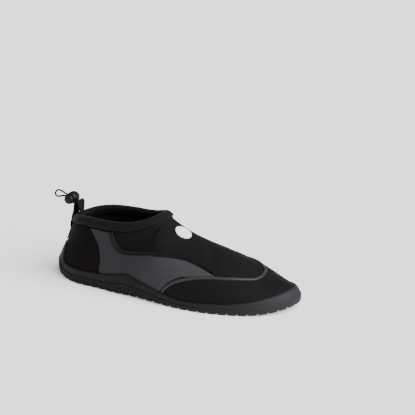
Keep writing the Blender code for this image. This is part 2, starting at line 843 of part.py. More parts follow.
def tape_column(y):
    """The pull tab's middle line at that distance from the heel's middle."""
    side = -1 if y < 0 else 1

    def at_width(reading):
        return side * solve(lambda w: abs(reading(side * w).y), abs(y), 0.0, 0.2)

    line = []
    low = height_share(0.0, rubber_top(0.0) + 1.2 * MM)
    far = GAP + OVERLAY + 1.5 * GAP + TAB_THICKNESS / 2
    for share in (0.0, 0.25, 0.5, 0.75, 0.95):
        t = mix(low, 0.97, share)
        w = at_width(lambda v: surface(v, t))
        line.append(surface(w, t) + facing(w, t) * (far + 1.2 * MM * max(share - 0.8, 0.0) / 0.15))
    middle = collar_point(0.0)
    out, up = collar_frame(0.0)
    w = at_width(collar_point)
    base = collar_point(w)
    turned, rising = collar_frame(w)
    for row in TAPE:
        p = Vector((row.x * MM, 0.0, row.z * MM)) - middle
        n, d = p.dot(out), p.dot(up)
        hung = middle + p + Vector((0.0, y, 0.0))
        line.append(mix(base + turned * n + rising * d, hung, row.freedom))
    return line


def cord_place(along, across, y=0.0):
    """Point from the lock's middle, along the cord and up across it."""
    a = math.radians(LOCK_TILT)
    x = LOCK_X - along * math.cos(a) + across * math.sin(a)
    return Vector((x, y, LOCK_Z + along * math.sin(a) + across * math.cos(a)))


def slot(low, high, half_height, half_width):
    """Block along the cord, rounded to an oval."""
    ring = []
    for k in range(12):
        angle = 2 * math.pi * k / 12
        bulge = (abs(math.cos(angle)) ** 4 + abs(math.sin(angle)) ** 4) ** -0.25
        ring.append((half_height * bulge * math.cos(angle), half_width * bulge * math.sin(angle)))
    corners = [cord_place((low + high) / 2, a, y) for a, y in ring]
    return prism(corners, cord_place(high, 0.0) - cord_place(low, 0.0))


def build_tab():
    columns = [tape_column(TAB_WIDTH * s) for s in (-0.5, -0.17, 0.17, 0.5)]
    points, faces = joined(columns)
    rows = len(columns[0])
    normals = []
    for k, p in enumerate(points):
        i, j = divmod(k, rows)
        across = columns[min(i + 1, 3)][j] - columns[max(i - 1, 0)][j]
        along = columns[i][min(j + 1, rows - 1)] - columns[i][max(j - 1, 0)]
        normals.append(along.cross(across).normalized())
    if normals[0].x > 0:
        normals = [-n for n in normals]
    count = len(points)
    half = TAB_THICKNESS / 2
    body = faces + [[k + count for k in reversed(face)] for face in faces]
    edges = {(face[n - 1], k) for face in faces for n, k in enumerate(face)}
    body += [[b, a, a + count, b + count] for a, b in edges_in_order(edges)]
    corners = [p + n * half for p, n in zip(points, normals)] + [p - n * half for p, n in zip(points, normals)]
    tab = add_object("pull_tab", corners, body, "black")
    cut(tab, "buttonhole", [slot(-BUTTONHOLE_END, BUTTONHOLE_LENGTH - BUTTONHOLE_END, STRAND + CORD_RADIUS + GAP, CORD_RADIUS + GAP)])


def edges_in_order(edges):
    return sorted((a, b) for a, b in edges if (b, a) not in edges)


def build_cord():
    path = [(row.along * MM, row.across * MM) for row in CORD]
    count = len(path)
    columns = []
    for k, place in enumerate(path):
        before, after = path[k - 1], path[(k + 1) % count]
        step = Vector((after[0] - before[0], after[1] - before[1])).normalized()
        ring = []
        for n in range(6):
            angle = 2 * math.pi * n / 6
            side = CORD_RADIUS * math.cos(angle)
            ring.append(cord_place(place[0] - step.y * side, place[1] + step.x * side, CORD_RADIUS * math.sin(angle)))
        columns.append(ring)
    points, faces = joined(columns, around=True, closed=True)
    add_object("drawcord", points, faces, "black")


def turned(name, table, color):
    columns = []
    for k in range(14):
        angle = 2 * math.pi * k / 14
        line = []
        for row in table:
            radius = row.radius * LOCK_RADIUS
            line.append(cord_place(radius * math.cos(angle), radius * math.sin(angle), -row.height * LOCK_LENGTH))
        columns.append(line)
    points, faces = joined(columns, around=True)
    return add_object(name, points, faces, color)


def build_lock():
    body = turned("cord_lock", LOCK_BODY, "black")
    reach = LOCK_RADIUS + 3 * MM
    cut(body, "lock_slot", [slot(-reach, reach, STRAND + CORD_RADIUS + GAP, CORD_RADIUS + GAP)])
    turned("lock_button", LOCK_BUTTON, "black")


for old in list(bpy.data.objects):
    bpy.data.objects.remove(old)

build_sole()
build_insole()
build_upper()
build_binding()
build_counter()
build_side(-1, "outer")
build_side(1, "inner")
build_toe()
build_badge()
build_tab()
build_cord()
build_lock()
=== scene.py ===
# Right-foot water shoe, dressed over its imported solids.
# Lengths are in millimetres from the heel's back until a mesh is made.
import math

import bmesh
import bpy
import numpy as np
from mathutils import Matrix, Vector


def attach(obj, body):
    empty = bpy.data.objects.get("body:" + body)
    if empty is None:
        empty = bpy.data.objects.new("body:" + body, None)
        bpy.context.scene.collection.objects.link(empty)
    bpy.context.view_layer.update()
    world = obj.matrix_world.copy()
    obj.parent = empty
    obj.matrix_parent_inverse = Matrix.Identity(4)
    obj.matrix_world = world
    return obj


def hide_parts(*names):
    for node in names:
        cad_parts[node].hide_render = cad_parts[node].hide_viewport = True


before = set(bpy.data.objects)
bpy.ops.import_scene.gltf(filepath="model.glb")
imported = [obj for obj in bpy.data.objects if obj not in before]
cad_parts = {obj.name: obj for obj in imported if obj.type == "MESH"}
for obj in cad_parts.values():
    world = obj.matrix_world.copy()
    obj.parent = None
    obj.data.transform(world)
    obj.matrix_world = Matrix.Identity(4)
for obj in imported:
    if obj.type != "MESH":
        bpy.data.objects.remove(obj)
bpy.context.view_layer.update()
mm = 0.001
heelMiddle = 34.0  # from the heel's back to the origin

# camera, at the photograph's angle
view = {
    "azimuth": 28.0, "elevation": 20.0, "distance": 1.8, "lens": 156.1, "sensor": 36.0,
    "target": (0.096, 0.0, 0.030), "right": 0.031, "up": 0.053,  # metres; the aim lies right of and above the target
}


def newObject(name, data):
    made = bpy.data.objects.new(name, data)
    bpy.context.scene.collection.objects.link(made)
    return made


def placeCamera():
    a, e = math.radians(view["azimuth"]), math.radians(view["elevation"])
    back = Vector((math.sin(a) * math.cos(e), -math.cos(a) * math.cos(e), math.sin(e)))
    right = Vector((math.cos(a), math.sin(a), 0.0))
    up = back.cross(right)
    spot = Vector(view["target"]) + back * view["distance"]
    aim = Vector(view["target"]) + right * view["right"] + up * view["up"]
    depth = (spot - aim).normalized()
    side = (right - depth * right.dot(depth)).normalized()
    turn = Matrix((side, depth.cross(side), depth)).transposed()
    lens = bpy.data.cameras.new("photoCamera")
    lens.lens = view["lens"]
    lens.sensor_width = view["sensor"]
    camera = newObject("photoCamera", lens)
    camera.matrix_world = Matrix.Translation(spot) @ turn.to_4x4()
    bpy.context.scene.camera = camera


placeCamera()
print("camera placed")

# the foot form, as in the solids; swingStart is the share of the length where the toe begins to turn in
form = {
    "length": 258.5, "ballWidth": 88.4, "heelRadius": 30.0, "toeRadius": 27.0, "toeSwing": 6.0, "toeSpring": 6.0,
    "collarBack": 14.0, "collarLength": 107.0, "collarWidth": 58.0, "collarSwing": 5.0, "heelHeight": 54.5,
    "instepHeight": 73.0, "toeHeight": 25.3, "crestLength": 119.5, "collarEnd": 0.46, "outlineEnd": 0.475,
    "wall": 2.5, "gap": 0.3, "hem": 4.0, "floor": 5.2, "cupWall": 2.0, "rib": 0.8,
    "cupHeight": 21.5, "insole": 3.5, "overlay": 0.9, "swingStart": 0.45, "swingPower": 2.2, "heelSpeed": 0.48,
    "collarSquare": 0.1, "seamTop": 0.992,  # seamTop: the highest share of a section that a panel reaches
}
# half widths as shares of ballWidth: along, inner, outer
outlineRows = (
    (0.06, 0.266, 0.271), (0.13, 0.339, 0.356), (0.25, 0.351, 0.396), (0.40, 0.328, 0.458), (0.52, 0.373, 0.509),
    (0.63, 0.452, 0.529), (0.72, 0.492, 0.509), (0.81, 0.492, 0.447), (0.89, 0.436, 0.351), (0.95, 0.334, 0.221),
)
# lift of the underside and height of the rubber's side: along, lift, side
soleRows = (
    (0.0, 1.13, 1.22), (0.012, 0.84, 1.28), (0.02, 0.67, 1.32), (0.027, 0.55, 1.22), (0.035, 0.43, 0.96),
    (0.043, 0.33, 0.82), (0.06, 0.19, 0.745), (0.11, 0.0, 0.735), (0.24, 0.0, 0.767), (0.3, 0.0, 0.875),
    (0.355, 0.09, 1.0), (0.43, 0.2, 0.8), (0.5, 0.16, 0.617), (0.56, 0.09, 0.475), (0.62, 0.03, 0.405),
    (0.7, 0.0, 0.44), (0.8, 0.02, 0.51), (0.88, 0.13, 0.605), (0.94, 0.37, 0.697), (1.0, 1.0, 0.707),
)
# the collar: round, height, lean in degrees
collarRows = (
    (0.0, 0.0, 22.0), (0.15, 0.09, 21.0), (0.28, 0.26, 20.0), (0.38, 0.325, 20.0), (0.5, 0.335, 20.0),
    (0.6, 0.36, 24.0), (0.7, 0.49, 30.0), (0.8, 0.71, 39.0), (0.9, 0.9, 50.0), (0.96, 0.98, 58.0), (1.0, 1.0, 62.0),
)
crestRows = (
    (0.0, 1.0), (0.08, 0.87), (0.17, 0.75), (0.3, 0.617), (0.48, 0.478), (0.62, 0.366), (0.74, 0.225), (0.84, 0.1),
    (0.92, 0.04), (1.0, 0.0),
)
# handles of each section: station, rise, flare, reach, drop
outerSections = (
    (0.0, 0.22, 0.04, 0.22, 0.5), (0.1, 0.23, 0.045, 0.27, 0.49), (0.2, 0.36, 0.07, 0.52, 0.43),
    (0.4, 0.4, 0.03, 0.6, 0.28), (0.46, 0.41, 0.02, 0.6, 0.08), (0.52, 0.42, 0.02, 0.58, 0.06),
    (0.7, 0.44, 0.05, 0.58, 0.05), (0.9, 0.5, 0.06, 0.47, 0.03), (1.0, 0.5, 0.07, 0.42, 0.03),
)
innerSections = (
    (0.0, 0.22, 0.04, 0.22, 0.5), (0.1, 0.23, 0.045, 0.27, 0.49), (0.2, 0.36, 0.07, 0.52, 0.43),
    (0.4, 0.45, 0.04, 0.6, 0.28), (0.46, 0.5, 0.03, 0.6, 0.08), (0.52, 0.52, 0.03, 0.6, 0.06),
    (0.7, 0.5, 0.05, 0.57, 0.05), (0.9, 0.5, 0.06, 0.44, 0.03), (1.0, 0.5, 0.07, 0.42, 0.03),
)
# lines over the upper: station, height
counterSeam = (
    (0.166, 1.0), (0.181, 0.908), (0.204, 0.792), (0.226, 0.637), (0.245, 0.412), (0.252, 0.188), (0.254, 0.0),
)
trimLine = (
    (0.242, 0.975), (0.257, 0.867), (0.28, 0.746), (0.304, 0.662), (0.33, 0.625), (0.36, 0.588), (0.405, 0.529),
    (0.462, 0.47), (0.488, 0.512), (0.511, 0.554), (0.539, 0.592), (0.565, 0.608), (0.586, 0.604), (0.605, 0.592),
    (0.625, 0.57), (0.643, 0.545),
)
outerRim = (
    (0.505, 0.079), (0.518, 0.175), (0.544, 0.287), (0.58, 0.383), (0.601, 0.425), (0.65, 0.496), (0.681, 0.529),
    (0.739, 0.633), (0.772, 0.713), (0.795, 0.825), (0.809, 0.93), (0.813, 1.0),
)
innerRim = (
    (0.505, 0.079), (0.518, 0.175), (0.544, 0.287), (0.58, 0.383), (0.62, 0.445), (0.665, 0.52), (0.708, 0.61),
    (0.74, 0.69), (0.772, 0.78), (0.797, 0.89), (0.813, 1.0),
)
# rungs of the side panel: back station, back height, share along the trim
panelRows = (
    (0.172, 0.985, 0.0), (0.187, 0.915, 0.05), (0.211, 0.8, 0.13), (0.233, 0.64, 0.2), (0.252, 0.415, 0.27),
    (0.259, 0.19, 0.33), (0.3, 0.0, 0.38), (0.352, 0.0, 0.43), (0.405, 0.0, 0.47), (0.455, 0.0, 0.507),
    (0.485, 0.0, 0.56), (0.498, 0.08, 0.591), (0.512, 0.186, 0.629), (0.53, 0.278, 0.677), (0.555, 0.366, 0.733),
    (0.58, 0.405, 0.803), (0.605, 0.452, 0.87), (0.628, 0.485, 0.925), (0.648, 0.512, 0.985),
)
# the binding's section, out and up from its lower edge
bindingRows = (
    (0.3, 0.0), (1.7, 0.2), (2.3, 2.0), (2.3, 5.2), (1.3, 8.2), (-1.2, 9.5), (-3.8, 8.2), (-4.8, 5.2), (-4.8, 2.0),
    (-4.2, 0.2), (-2.8, 0.0), (-2.8, 4.4), (0.3, 4.4),
)
# the pull tab's middle line: x, z, freedom
tapeRows = (
    (11.4, 56.3, 0.0), (11.9, 60.1, 0.0), (13.2, 64.2, 0.1), (14.2, 68.4, 0.4), (15.0, 72.2, 0.8), (16.4, 75.3, 1.0),
    (18.1, 76.4, 1.0), (19.9, 75.0, 1.0), (20.4, 71.0, 0.8), (20.6, 66.3, 0.4), (21.3, 61.6, 0.1), (21.8, 57.3, 0.0),
    (20.4, 53.7, 0.0),
)
# creases pressed in: side, station, height, station, height, width, depth
creaseRows = (
    (-1, 0.30, 0.97, 0.37, 0.70, 5.0, 0.35), (-1, 0.36, 0.98, 0.41, 0.78, 4.0, 0.25),
    (-1, 0.21, 0.58, 0.27, 0.50, 3.0, 0.25), (-1, 0.60, 0.98, 0.63, 0.66, 7.0, 0.45),
    (-1, 0.66, 0.98, 0.69, 0.70, 6.0, 0.35), (1, 0.60, 0.98, 0.63, 0.60, 7.0, 0.45),
    (1, 0.66, 0.98, 0.70, 0.62, 6.0, 0.35), (1, 0.30, 0.97, 0.37, 0.66, 5.0, 0.40),
    (1, 0.20, 0.60, 0.27, 0.52, 3.0, 0.25),
)


# the solids' own smooth curve through a table's points, for whole arrays
def smoothCurve(xs, ys):
    xs, ys = np.array(xs, float), np.array(ys, float)
    widths = np.diff(xs)
    steps = np.diff(ys) / widths
    slopes = np.concatenate(([steps[0]], np.zeros(len(xs) - 2), [steps[-1]]))
    if len(xs) > 2:
        before, after = widths[:-1], widths[1:]
        mean = (steps[:-1] * after + steps[1:] * before) / (before + after)
        slopes[1:-1] = np.where(steps[:-1] * steps[1:] <= 0, 0.0, mean)

    def at(x):
        x = np.clip(x, xs[0], xs[-1])
        i = np.clip(np.searchsorted(xs, x, side="right") - 1, 0, len(xs) - 2)
        t = (x - xs[i]) / widths[i]
        rise = ys[i] + (ys[i + 1] - ys[i]) * t * t * (3 - 2 * t)
        return rise + widths[i] * (slopes[i] * t * (1 - t) ** 2 - slopes[i + 1] * t * t * (1 - t))

    return at


def tableCurve(rows, column):
    return smoothCurve([row[0] for row in rows], [row[column] for row in rows])


def swing(along):
    start = form["swingStart"]
    return form["toeSwing"] * np.maximum(0.0, (along - start) / (1 - start)) ** form["swingPower"]


def halfCurve(side):
    turns, sizes = [0.0], [math.sqrt(form["heelRadius"] * form["length"] / 2)]
    for along, inner, outer in outlineRows:
        half = form["ballWidth"] * (inner if side > 0 else outer) - side * float(swing(along))
        turns.append(math.acos(1 - 2 * along) / math.pi)
        sizes.append(half / math.sin(math.pi * turns[-1]))
    return smoothCurve(turns + [1.0], sizes + [math.sqrt(form["toeRadius"] * form["length"] / 2)])


halfCurves = {-1: halfCurve(-1), 1: halfCurve(1)}
liftCurve, sideCurve = tableCurve(soleRows, 1), tableCurve(soleRows, 2)
collarHeight, collarLean = tableCurve(collarRows, 1), tableCurve(collarRows, 2)
crestHeight = tableCurve(crestRows, 1)


def outlineTurn(station):
    share = np.minimum(station / form["collarEnd"], 1.0)
    heel = form["outlineEnd"] * share * (1 + form["heelSpeed"] * (1 - share))
    toe = form["outlineEnd"] + (1 - form["outlineEnd"]) * (station - form["collarEnd"]) / (1 - form["collarEnd"])
    return np.where(station > form["collarEnd"], toe, heel)


# plan of the upper at the sole: w runs from -1, toe, over the outer side and 0, heel, to 1, toe
def outline(w):
    turn = outlineTurn(np.minimum(np.abs(w), 1.0))
    along = (1 - np.cos(np.pi * turn)) / 2
    half = np.where(w < 0, halfCurves[-1](turn), halfCurves[1](turn)) * np.sin(np.pi * turn)
    return np.stack([along * form["length"], swing(along) + np.where(w < 0, -half, half), 0 * half], -1)


def unit(v):
    return v / np.maximum(np.linalg.norm(v, axis=-1, keepdims=True), 1e-9)


# distance travelled at each point of a line
def travelled(points):
    return np.concatenate(([0.0], np.cumsum(np.linalg.norm(np.diff(points, axis=0), axis=1))))


def mix(a, b, share):
    return a + (b - a) * share


def outward(w):
    w = np.asarray(w, float)
    near = np.clip(w, 1e-4 - 1, 1 - 1e-4)
    ahead = outline(near + 1e-4) - outline(near - 1e-4)
    out = unit(np.stack([-ahead[..., 1], ahead[..., 0], 0 * w], -1))
    out = np.where((np.abs(w) < 1e-4)[..., None], [-1.0, 0.0, 0.0], out)
    return np.where((np.abs(w) > 1 - 1e-4)[..., None], [1.0, 0.0, 0.0], out)


upward = np.array([0.0, 0.0, 1.0])


def underside(x):
    return form["toeSpring"] * liftCurve(x / form["length"])


# height of the upper's lower edge
def seat(x):
    return underside(x) + form["floor"] + form["gap"]


# middle line of the underside between two shares of the length
def middleLine(w, start, end):
    along = mix(start, end, (1 - np.cos(np.pi * outlineTurn(np.abs(w)))) / 2)
    x = form["length"] * along
    return np.stack([x, swing(along), underside(x)], -1)


def rubberTop(w):
    x = outline(w)[..., 0]
    return underside(x) + form["cupHeight"] * sideCurve(x / form["length"])


def collarPoint(w):
    side = np.where(w < 0, -1.0, 1.0)
    share = np.minimum(np.abs(w) / form["collarEnd"], 1.0)
    x = form["collarBack"] + form["collarLength"] * (1 - np.cos(np.pi * share)) / 2
    y = form["collarWidth"] / 2 * np.maximum(np.sin(np.pi * share), 0.0) ** (1.0 - form["collarSquare"] * share)
    z = form["heelHeight"] + (form["instepHeight"] - form["heelHeight"]) * collarHeight(share)
    return np.stack([x, side * y + form["collarSwing"] * share**3, z], -1)


# directions out of and up the wall at the collar
def collarFrame(w):
    w = np.asarray(w, float)
    side = np.where(w < 0, -1.0, 1.0)
    share = np.minimum(np.abs(w) / form["collarEnd"], 1.0)
    step = 0.002
    near = np.clip(w, step - form["collarEnd"], form["collarEnd"] - step)
    along = unit(collarPoint(near + side * step) - collarPoint(near - side * step))
    along = np.where((share < step)[..., None], np.stack([0 * w, side, 0 * w], -1), along)
    along = np.where((share > 1 - step)[..., None], np.stack([0 * w, -side, 0 * w], -1), along)
    flat = unit(np.stack([-side * along[..., 1], side * along[..., 0], 0 * w], -1))
    lean = np.radians(collarLean(share))[..., None]
    out = flat * np.cos(lean) + upward * np.sin(lean)
    out = unit(out - along * np.sum(out * along, -1, keepdims=True))
    up = np.cross(out, along)
    return out, unit(np.where(up[..., 2:] > 0, up, -up))


def crestPoint(w):
    share = np.sin(np.pi / 2 * np.clip((np.abs(w) - form["collarEnd"]) / (1 - form["collarEnd"]), 0.0, 1.0))
    z = form["toeHeight"] + (form["instepHeight"] - form["toeHeight"]) * crestHeight(share)
    y = form["collarSwing"] + (form["toeSwing"] - form["collarSwing"]) * share
    return np.stack([form["collarBack"] + form["collarLength"] + form["crestLength"] * share, y, z], -1)


def sectionHandles(w):
    low = outline(w)
    low[..., 2] = seat(low[..., 0])
    high = np.where((np.abs(w) <= form["collarEnd"] + 1e-9)[..., None], collarPoint(w), crestPoint(w))
    rise, flare, reach, drop = (
        np.where(w < 0, tableCurve(outerSections, k)(np.abs(w)), tableCurve(innerSections, k)(np.abs(w)))[..., None]
        for k in (1, 2, 3, 4)
    )
    height = high[..., 2:] - low[..., 2:]
    first = low + upward * rise * height + outward(w) * flare * height
    second = high + (low - high) * reach
    second[..., 2:] = high[..., 2:] - drop * height
    return np.stack([low, first, second, high], -2)


handleCount = 4001
handles = sectionHandles(np.linspace(-1, 1, handleCount))


# the upper's outside at w: t runs from 0 at the sole to 1 at the binding or the crest
def formAt(w, t):
    w, t = np.broadcast_arrays(np.asarray(w, float), np.asarray(t, float))
    place = np.mod(w + 1, 2) * (handleCount - 1) / 2
    i = np.minimum(place.astype(int), handleCount - 2)
    f = (place - i)[..., None, None]
    h = handles[i] * (1 - f) + handles[i + 1] * f
    t = t[..., None]
    m = 1 - t
    return h[..., 0, :] * m**3 + h[..., 1, :] * 3 * m * m * t + h[..., 2, :] * 3 * m * t * t + h[..., 3, :] * t**3


def slopesAt(w, t):
    step = 1e-3
    t = np.clip(t, step, 1 - step)
    across = (formAt(w + step, t) - formAt(w - step, t)) / (2 * step)
    return across, (formAt(w, t + step) - formAt(w, t - step)) / (2 * step)


def outAt(w, t):
    across, up = slopesAt(w, t)
    return unit(np.cross(up, across))


# depth of the listed creases, each with a soft swell beside it
def creased(w, t):
    depth = 0.0 * (w + t)
    for side, w0, t0, w1, t1, width, deep in creaseRows:
        ends = formAt(np.array([side * w0, side * w1]), np.array([t0, t1]))
        a, b = ends
        here = formAt(w, t)
        run = np.clip(np.sum((here - a) * (b - a), -1) / np.sum((b - a) ** 2), 0.0, 1.0)
        far = np.linalg.norm(here - a - run[..., None] * (b - a), axis=-1) / width
        fade = np.sin(np.pi * np.clip(run, 0.04, 0.96)) ** 0.6
        depth = depth + deep * fade * (0.55 * np.exp(-((far - 1.5) ** 2) * 1.6) - np.exp(-(far**2) * 2.2))
    return depth


# point that far out of the upper, with its creases
def skinAt(w, t, far):
    return formAt(w, t) + outAt(w, t) * (far + creased(w, t))[..., None]


# surface place reached from (w, t) by a short vector
def shiftedTo(w, t, far):
    a, b = slopesAt(w, t)
    aa, ab, bb = (np.sum(p * q, -1) for p, q in ((a, a), (a, b), (b, b)))
    fa, fb = np.sum(far * a, -1), np.sum(far * b, -1)
    size = aa * bb - ab * ab
    return w + (fa * bb - fb * ab) / size, t + (fb * aa - fa * ab) / size


# share of the section at a height, on the surface moved out by far
def heightShare(w, z, far=0.0):
    w, z = np.broadcast_arrays(np.asarray(w, float), np.asarray(z, float))
    low, high = np.zeros(w.shape), np.ones(w.shape)
    for _ in range(18):
        middle = (low + high) / 2
        height = formAt(w, middle)[..., 2]
        if far:
            height = height + outAt(w, middle)[..., 2] * far
        low, high = np.where(height < z, middle, low), np.where(height < z, high, middle)
    return (low + high) / 2


# station and height at a share of a line's rows
def lineAt(rows, side, share):
    place = np.asarray(share, float) * (len(rows) - 1)
    station, height = (smoothCurve(range(len(rows)), [row[k] for row in rows])(place) for k in (0, 1))
    return side * station, height


# place beside a line, towards the sole when far is above zero
def beside(rows, side, share, far):
    share = np.asarray(share, float)
    w, t = lineAt(rows, side, share)
    ahead = formAt(*lineAt(rows, side, np.minimum(share + 0.01, 1.0)))
    behind = formAt(*lineAt(rows, side, np.maximum(share - 0.01, 0.0)))
    across = np.cross(unit(ahead - behind), outAt(w, t)) * -side
    return shiftedTo(w, t, across * np.asarray(far, float)[..., None])


# rounded shoulder: 0 at an edge and 1 from radius inwards
def rounded(distance, radius):
    share = np.clip(distance / radius, 0.0, 1.0)
    return np.sqrt(np.maximum(1 - (1 - share) ** 2, 0.0))


# metres from the origin
def toScene(point):
    return (point[0] - heelMiddle) * mm, point[1] * mm, point[2] * mm


# adds a grid to a bmesh and lays its unit square by place(u, v), in millimetres
def gridInto(work, across, up, place, uvSize=(1.0, 1.0), material=0, warpU=None, warpV=None):
    uvs = work.loops.layers.uv.verify()
    made = bmesh.ops.create_grid(work, x_segments=across, y_segments=up, size=0.5)["verts"]
    flat = np.array([v.co[:2] for v in made]) + 0.5
    u, v = flat[:, 0], flat[:, 1]
    known = {vert: (a * uvSize[0] * mm, b * uvSize[1] * mm) for vert, a, b in zip(made, u, v)}
    faces = {face for vert in made for face in vert.link_faces}
    for face in faces:
        face.material_index = material
        for loop in face.loops:
            loop[uvs].uv = known[loop.vert]
    laidU = warpU(u) if warpU else u
    laidV = warpV(v) if warpV else v
    points = place(laidU, laidV)
    for vert, point in zip(made, points):
        vert.co = toScene(point)


# object from a bmesh, riding on the shoe
def finished(name, work, materials, replaced=(), closed=True):
    bmesh.ops.remove_doubles(work, verts=work.verts, dist=1e-6)
    bmesh.ops.dissolve_degenerate(work, edges=work.edges, dist=1e-7)
    if closed:
        bmesh.ops.recalc_face_normals(work, faces=work.faces)
    mesh = bpy.data.meshes.new(name)
    work.to_mesh(mesh)
    work.free()
    piece = newObject(name, mesh)
    for material in materials:
        mesh.materials.append(material)
    for polygon in mesh.polygons:
        polygon.use_smooth = True
    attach(piece, "root")
    if replaced:
        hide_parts(*replaced)
    print("made", name, len(mesh.polygons))
    return piece


# spacing of a grid's lines that gathers them near both of its edges
def towardsEdges(count, size, near=(0.0, 0.12, 0.3, 0.6, 1.0, 1.6)):
    start = [min(d / size, 0.45) for d in near]
    middle = list(np.linspace(start[-1], 1 - start[-1], max(count - 2 * len(start) + 3, 2)))[1:-1]
    knots = np.array(start + middle + [1 - s for s in reversed(start)])

    def warp(v):
        return np.interp(v * (len(knots) - 1), np.arange(len(knots)), knots)

    return len(knots) - 1, warp


# sets a shader node's inputs, or links them where sockets are given
def feed(tree, node, inputs):
    for name, value in inputs.items():
        if isinstance(value, bpy.types.NodeSocket):
            tree.links.new(value, node.inputs[name])
        else:
            node.inputs[name].default_value = value


def addNode(tree, kind, inputs=None, **settings):
    node = tree.nodes.new("ShaderNode" + kind)
    for name, value in settings.items():
        setattr(node, name, value)
    feed(tree, node, inputs or {})
    return node


def newMaterial(name):
    material = bpy.data.materials.new(name)
    material.use_nodes = True
    return material, next(node for node in material.node_tree.nodes if node.type == "BSDF_PRINCIPLED")


def newGroup(name, inputs, outputs):
    group = bpy.data.node_groups.new(name, "ShaderNodeTree")
    for socket, kind, value in inputs:
        made = group.interface.new_socket(socket, in_out="INPUT", socket_type=kind)
        if value is not None:
            made.default_value = value
    for socket, kind in outputs:
        group.interface.new_socket(socket, in_out="OUTPUT", socket_type=kind)
    return group, group.nodes.new("NodeGroupInput").outputs, group.nodes.new("NodeGroupOutput").inputs


# slow and fine changes of tone, on object coordinates
def mottleGroup():
    sockets = [("Vector", "NodeSocketVector", None), ("Size", "NodeSocketFloat", 60.0), ("Depth", "NodeSocketFloat", 0.2)]
    group, take, give = newGroup("mottle", sockets, [("Tone", "NodeSocketFloat")])
    slow = addNode(group, "TexNoise", {"Vector": take["Vector"], "Scale": take["Size"], "Detail": 3.0, "Roughness": 0.6})
    size = addNode(group, "Math", {0: take["Size"], 1: 9.0}, operation="MULTIPLY")
    fine = addNode(group, "TexNoise", {"Vector": take["Vector"], "Scale": size.outputs[0], "Detail": 2.0})
    both = addNode(group, "Math", {0: fine.outputs["Fac"], 1: 0.6, 2: slow.outputs["Fac"]}, operation="MULTIPLY_ADD")
    middle = addNode(group, "Math", {0: both.outputs[0], 1: 0.8}, operation="SUBTRACT")
    tone = addNode(group, "Math", {0: middle.outputs[0], 1: take["Depth"], 2: 1.0}, operation="MULTIPLY_ADD")
    group.links.new(tone.outputs[0], give["Tone"])
    return group


# two crossing sets of threads on a piece's own UV map, in threads per metre
def weaveGroup():
    sockets = [
        ("Vector", "NodeSocketVector", None), ("Threads", "NodeSocketFloat", 1400.0), ("Slant", "NodeSocketFloat", 0.5),
    ]
    group, take, give = newGroup("weave", sockets, [("Height", "NodeSocketFloat")])
    scaled = addNode(group, "VectorMath", {0: take["Vector"], "Scale": take["Threads"]}, operation="SCALE")
    parts = addNode(group, "SeparateXYZ", {0: scaled.outputs[0]})
    slant = addNode(group, "Math", {0: parts.outputs[1], 1: take["Slant"], 2: parts.outputs[0]}, operation="MULTIPLY_ADD")
    waves = []
    for source in (slant.outputs[0], parts.outputs[1]):
        turn = addNode(group, "Math", {0: source, 1: math.pi}, operation="MULTIPLY")
        wave = addNode(group, "Math", {0: turn.outputs[0]}, operation="SINE")
        waves.append(addNode(group, "Math", {0: wave.outputs[0]}, operation="ABSOLUTE").outputs[0])
    both = addNode(group, "Math", {0: waves[0], 1: waves[1]}, operation="MULTIPLY")
    group.links.new(both.outputs[0], give["Height"])
    return group


# pebbled grain of coated cloth, rubber or moulded plastic
def grainGroup():
    sockets = [("Vector", "NodeSocketVector", None), ("Size", "NodeSocketFloat", 900.0)]
    group, take, give = newGroup("grain", sockets, [("Height", "NodeSocketFloat")])
    cells = addNode(group, "TexVoronoi", {"Vector": take["Vector"], "Scale": take["Size"]}, feature="SMOOTH_F1")
    noise = addNode(group, "TexNoise", {"Vector": take["Vector"], "Scale": take["Size"], "Detail": 3.0})
    sources = {0: cells.outputs["Distance"], 1: 0.7, 2: noise.outputs["Fac"]}
    both = addNode(group, "Math", sources, operation="MULTIPLY_ADD")
    group.links.new(both.outputs[0], give["Height"])
    return group


groups = {"mottle": mottleGroup(), "weave": weaveGroup(), "grain": grainGroup()}
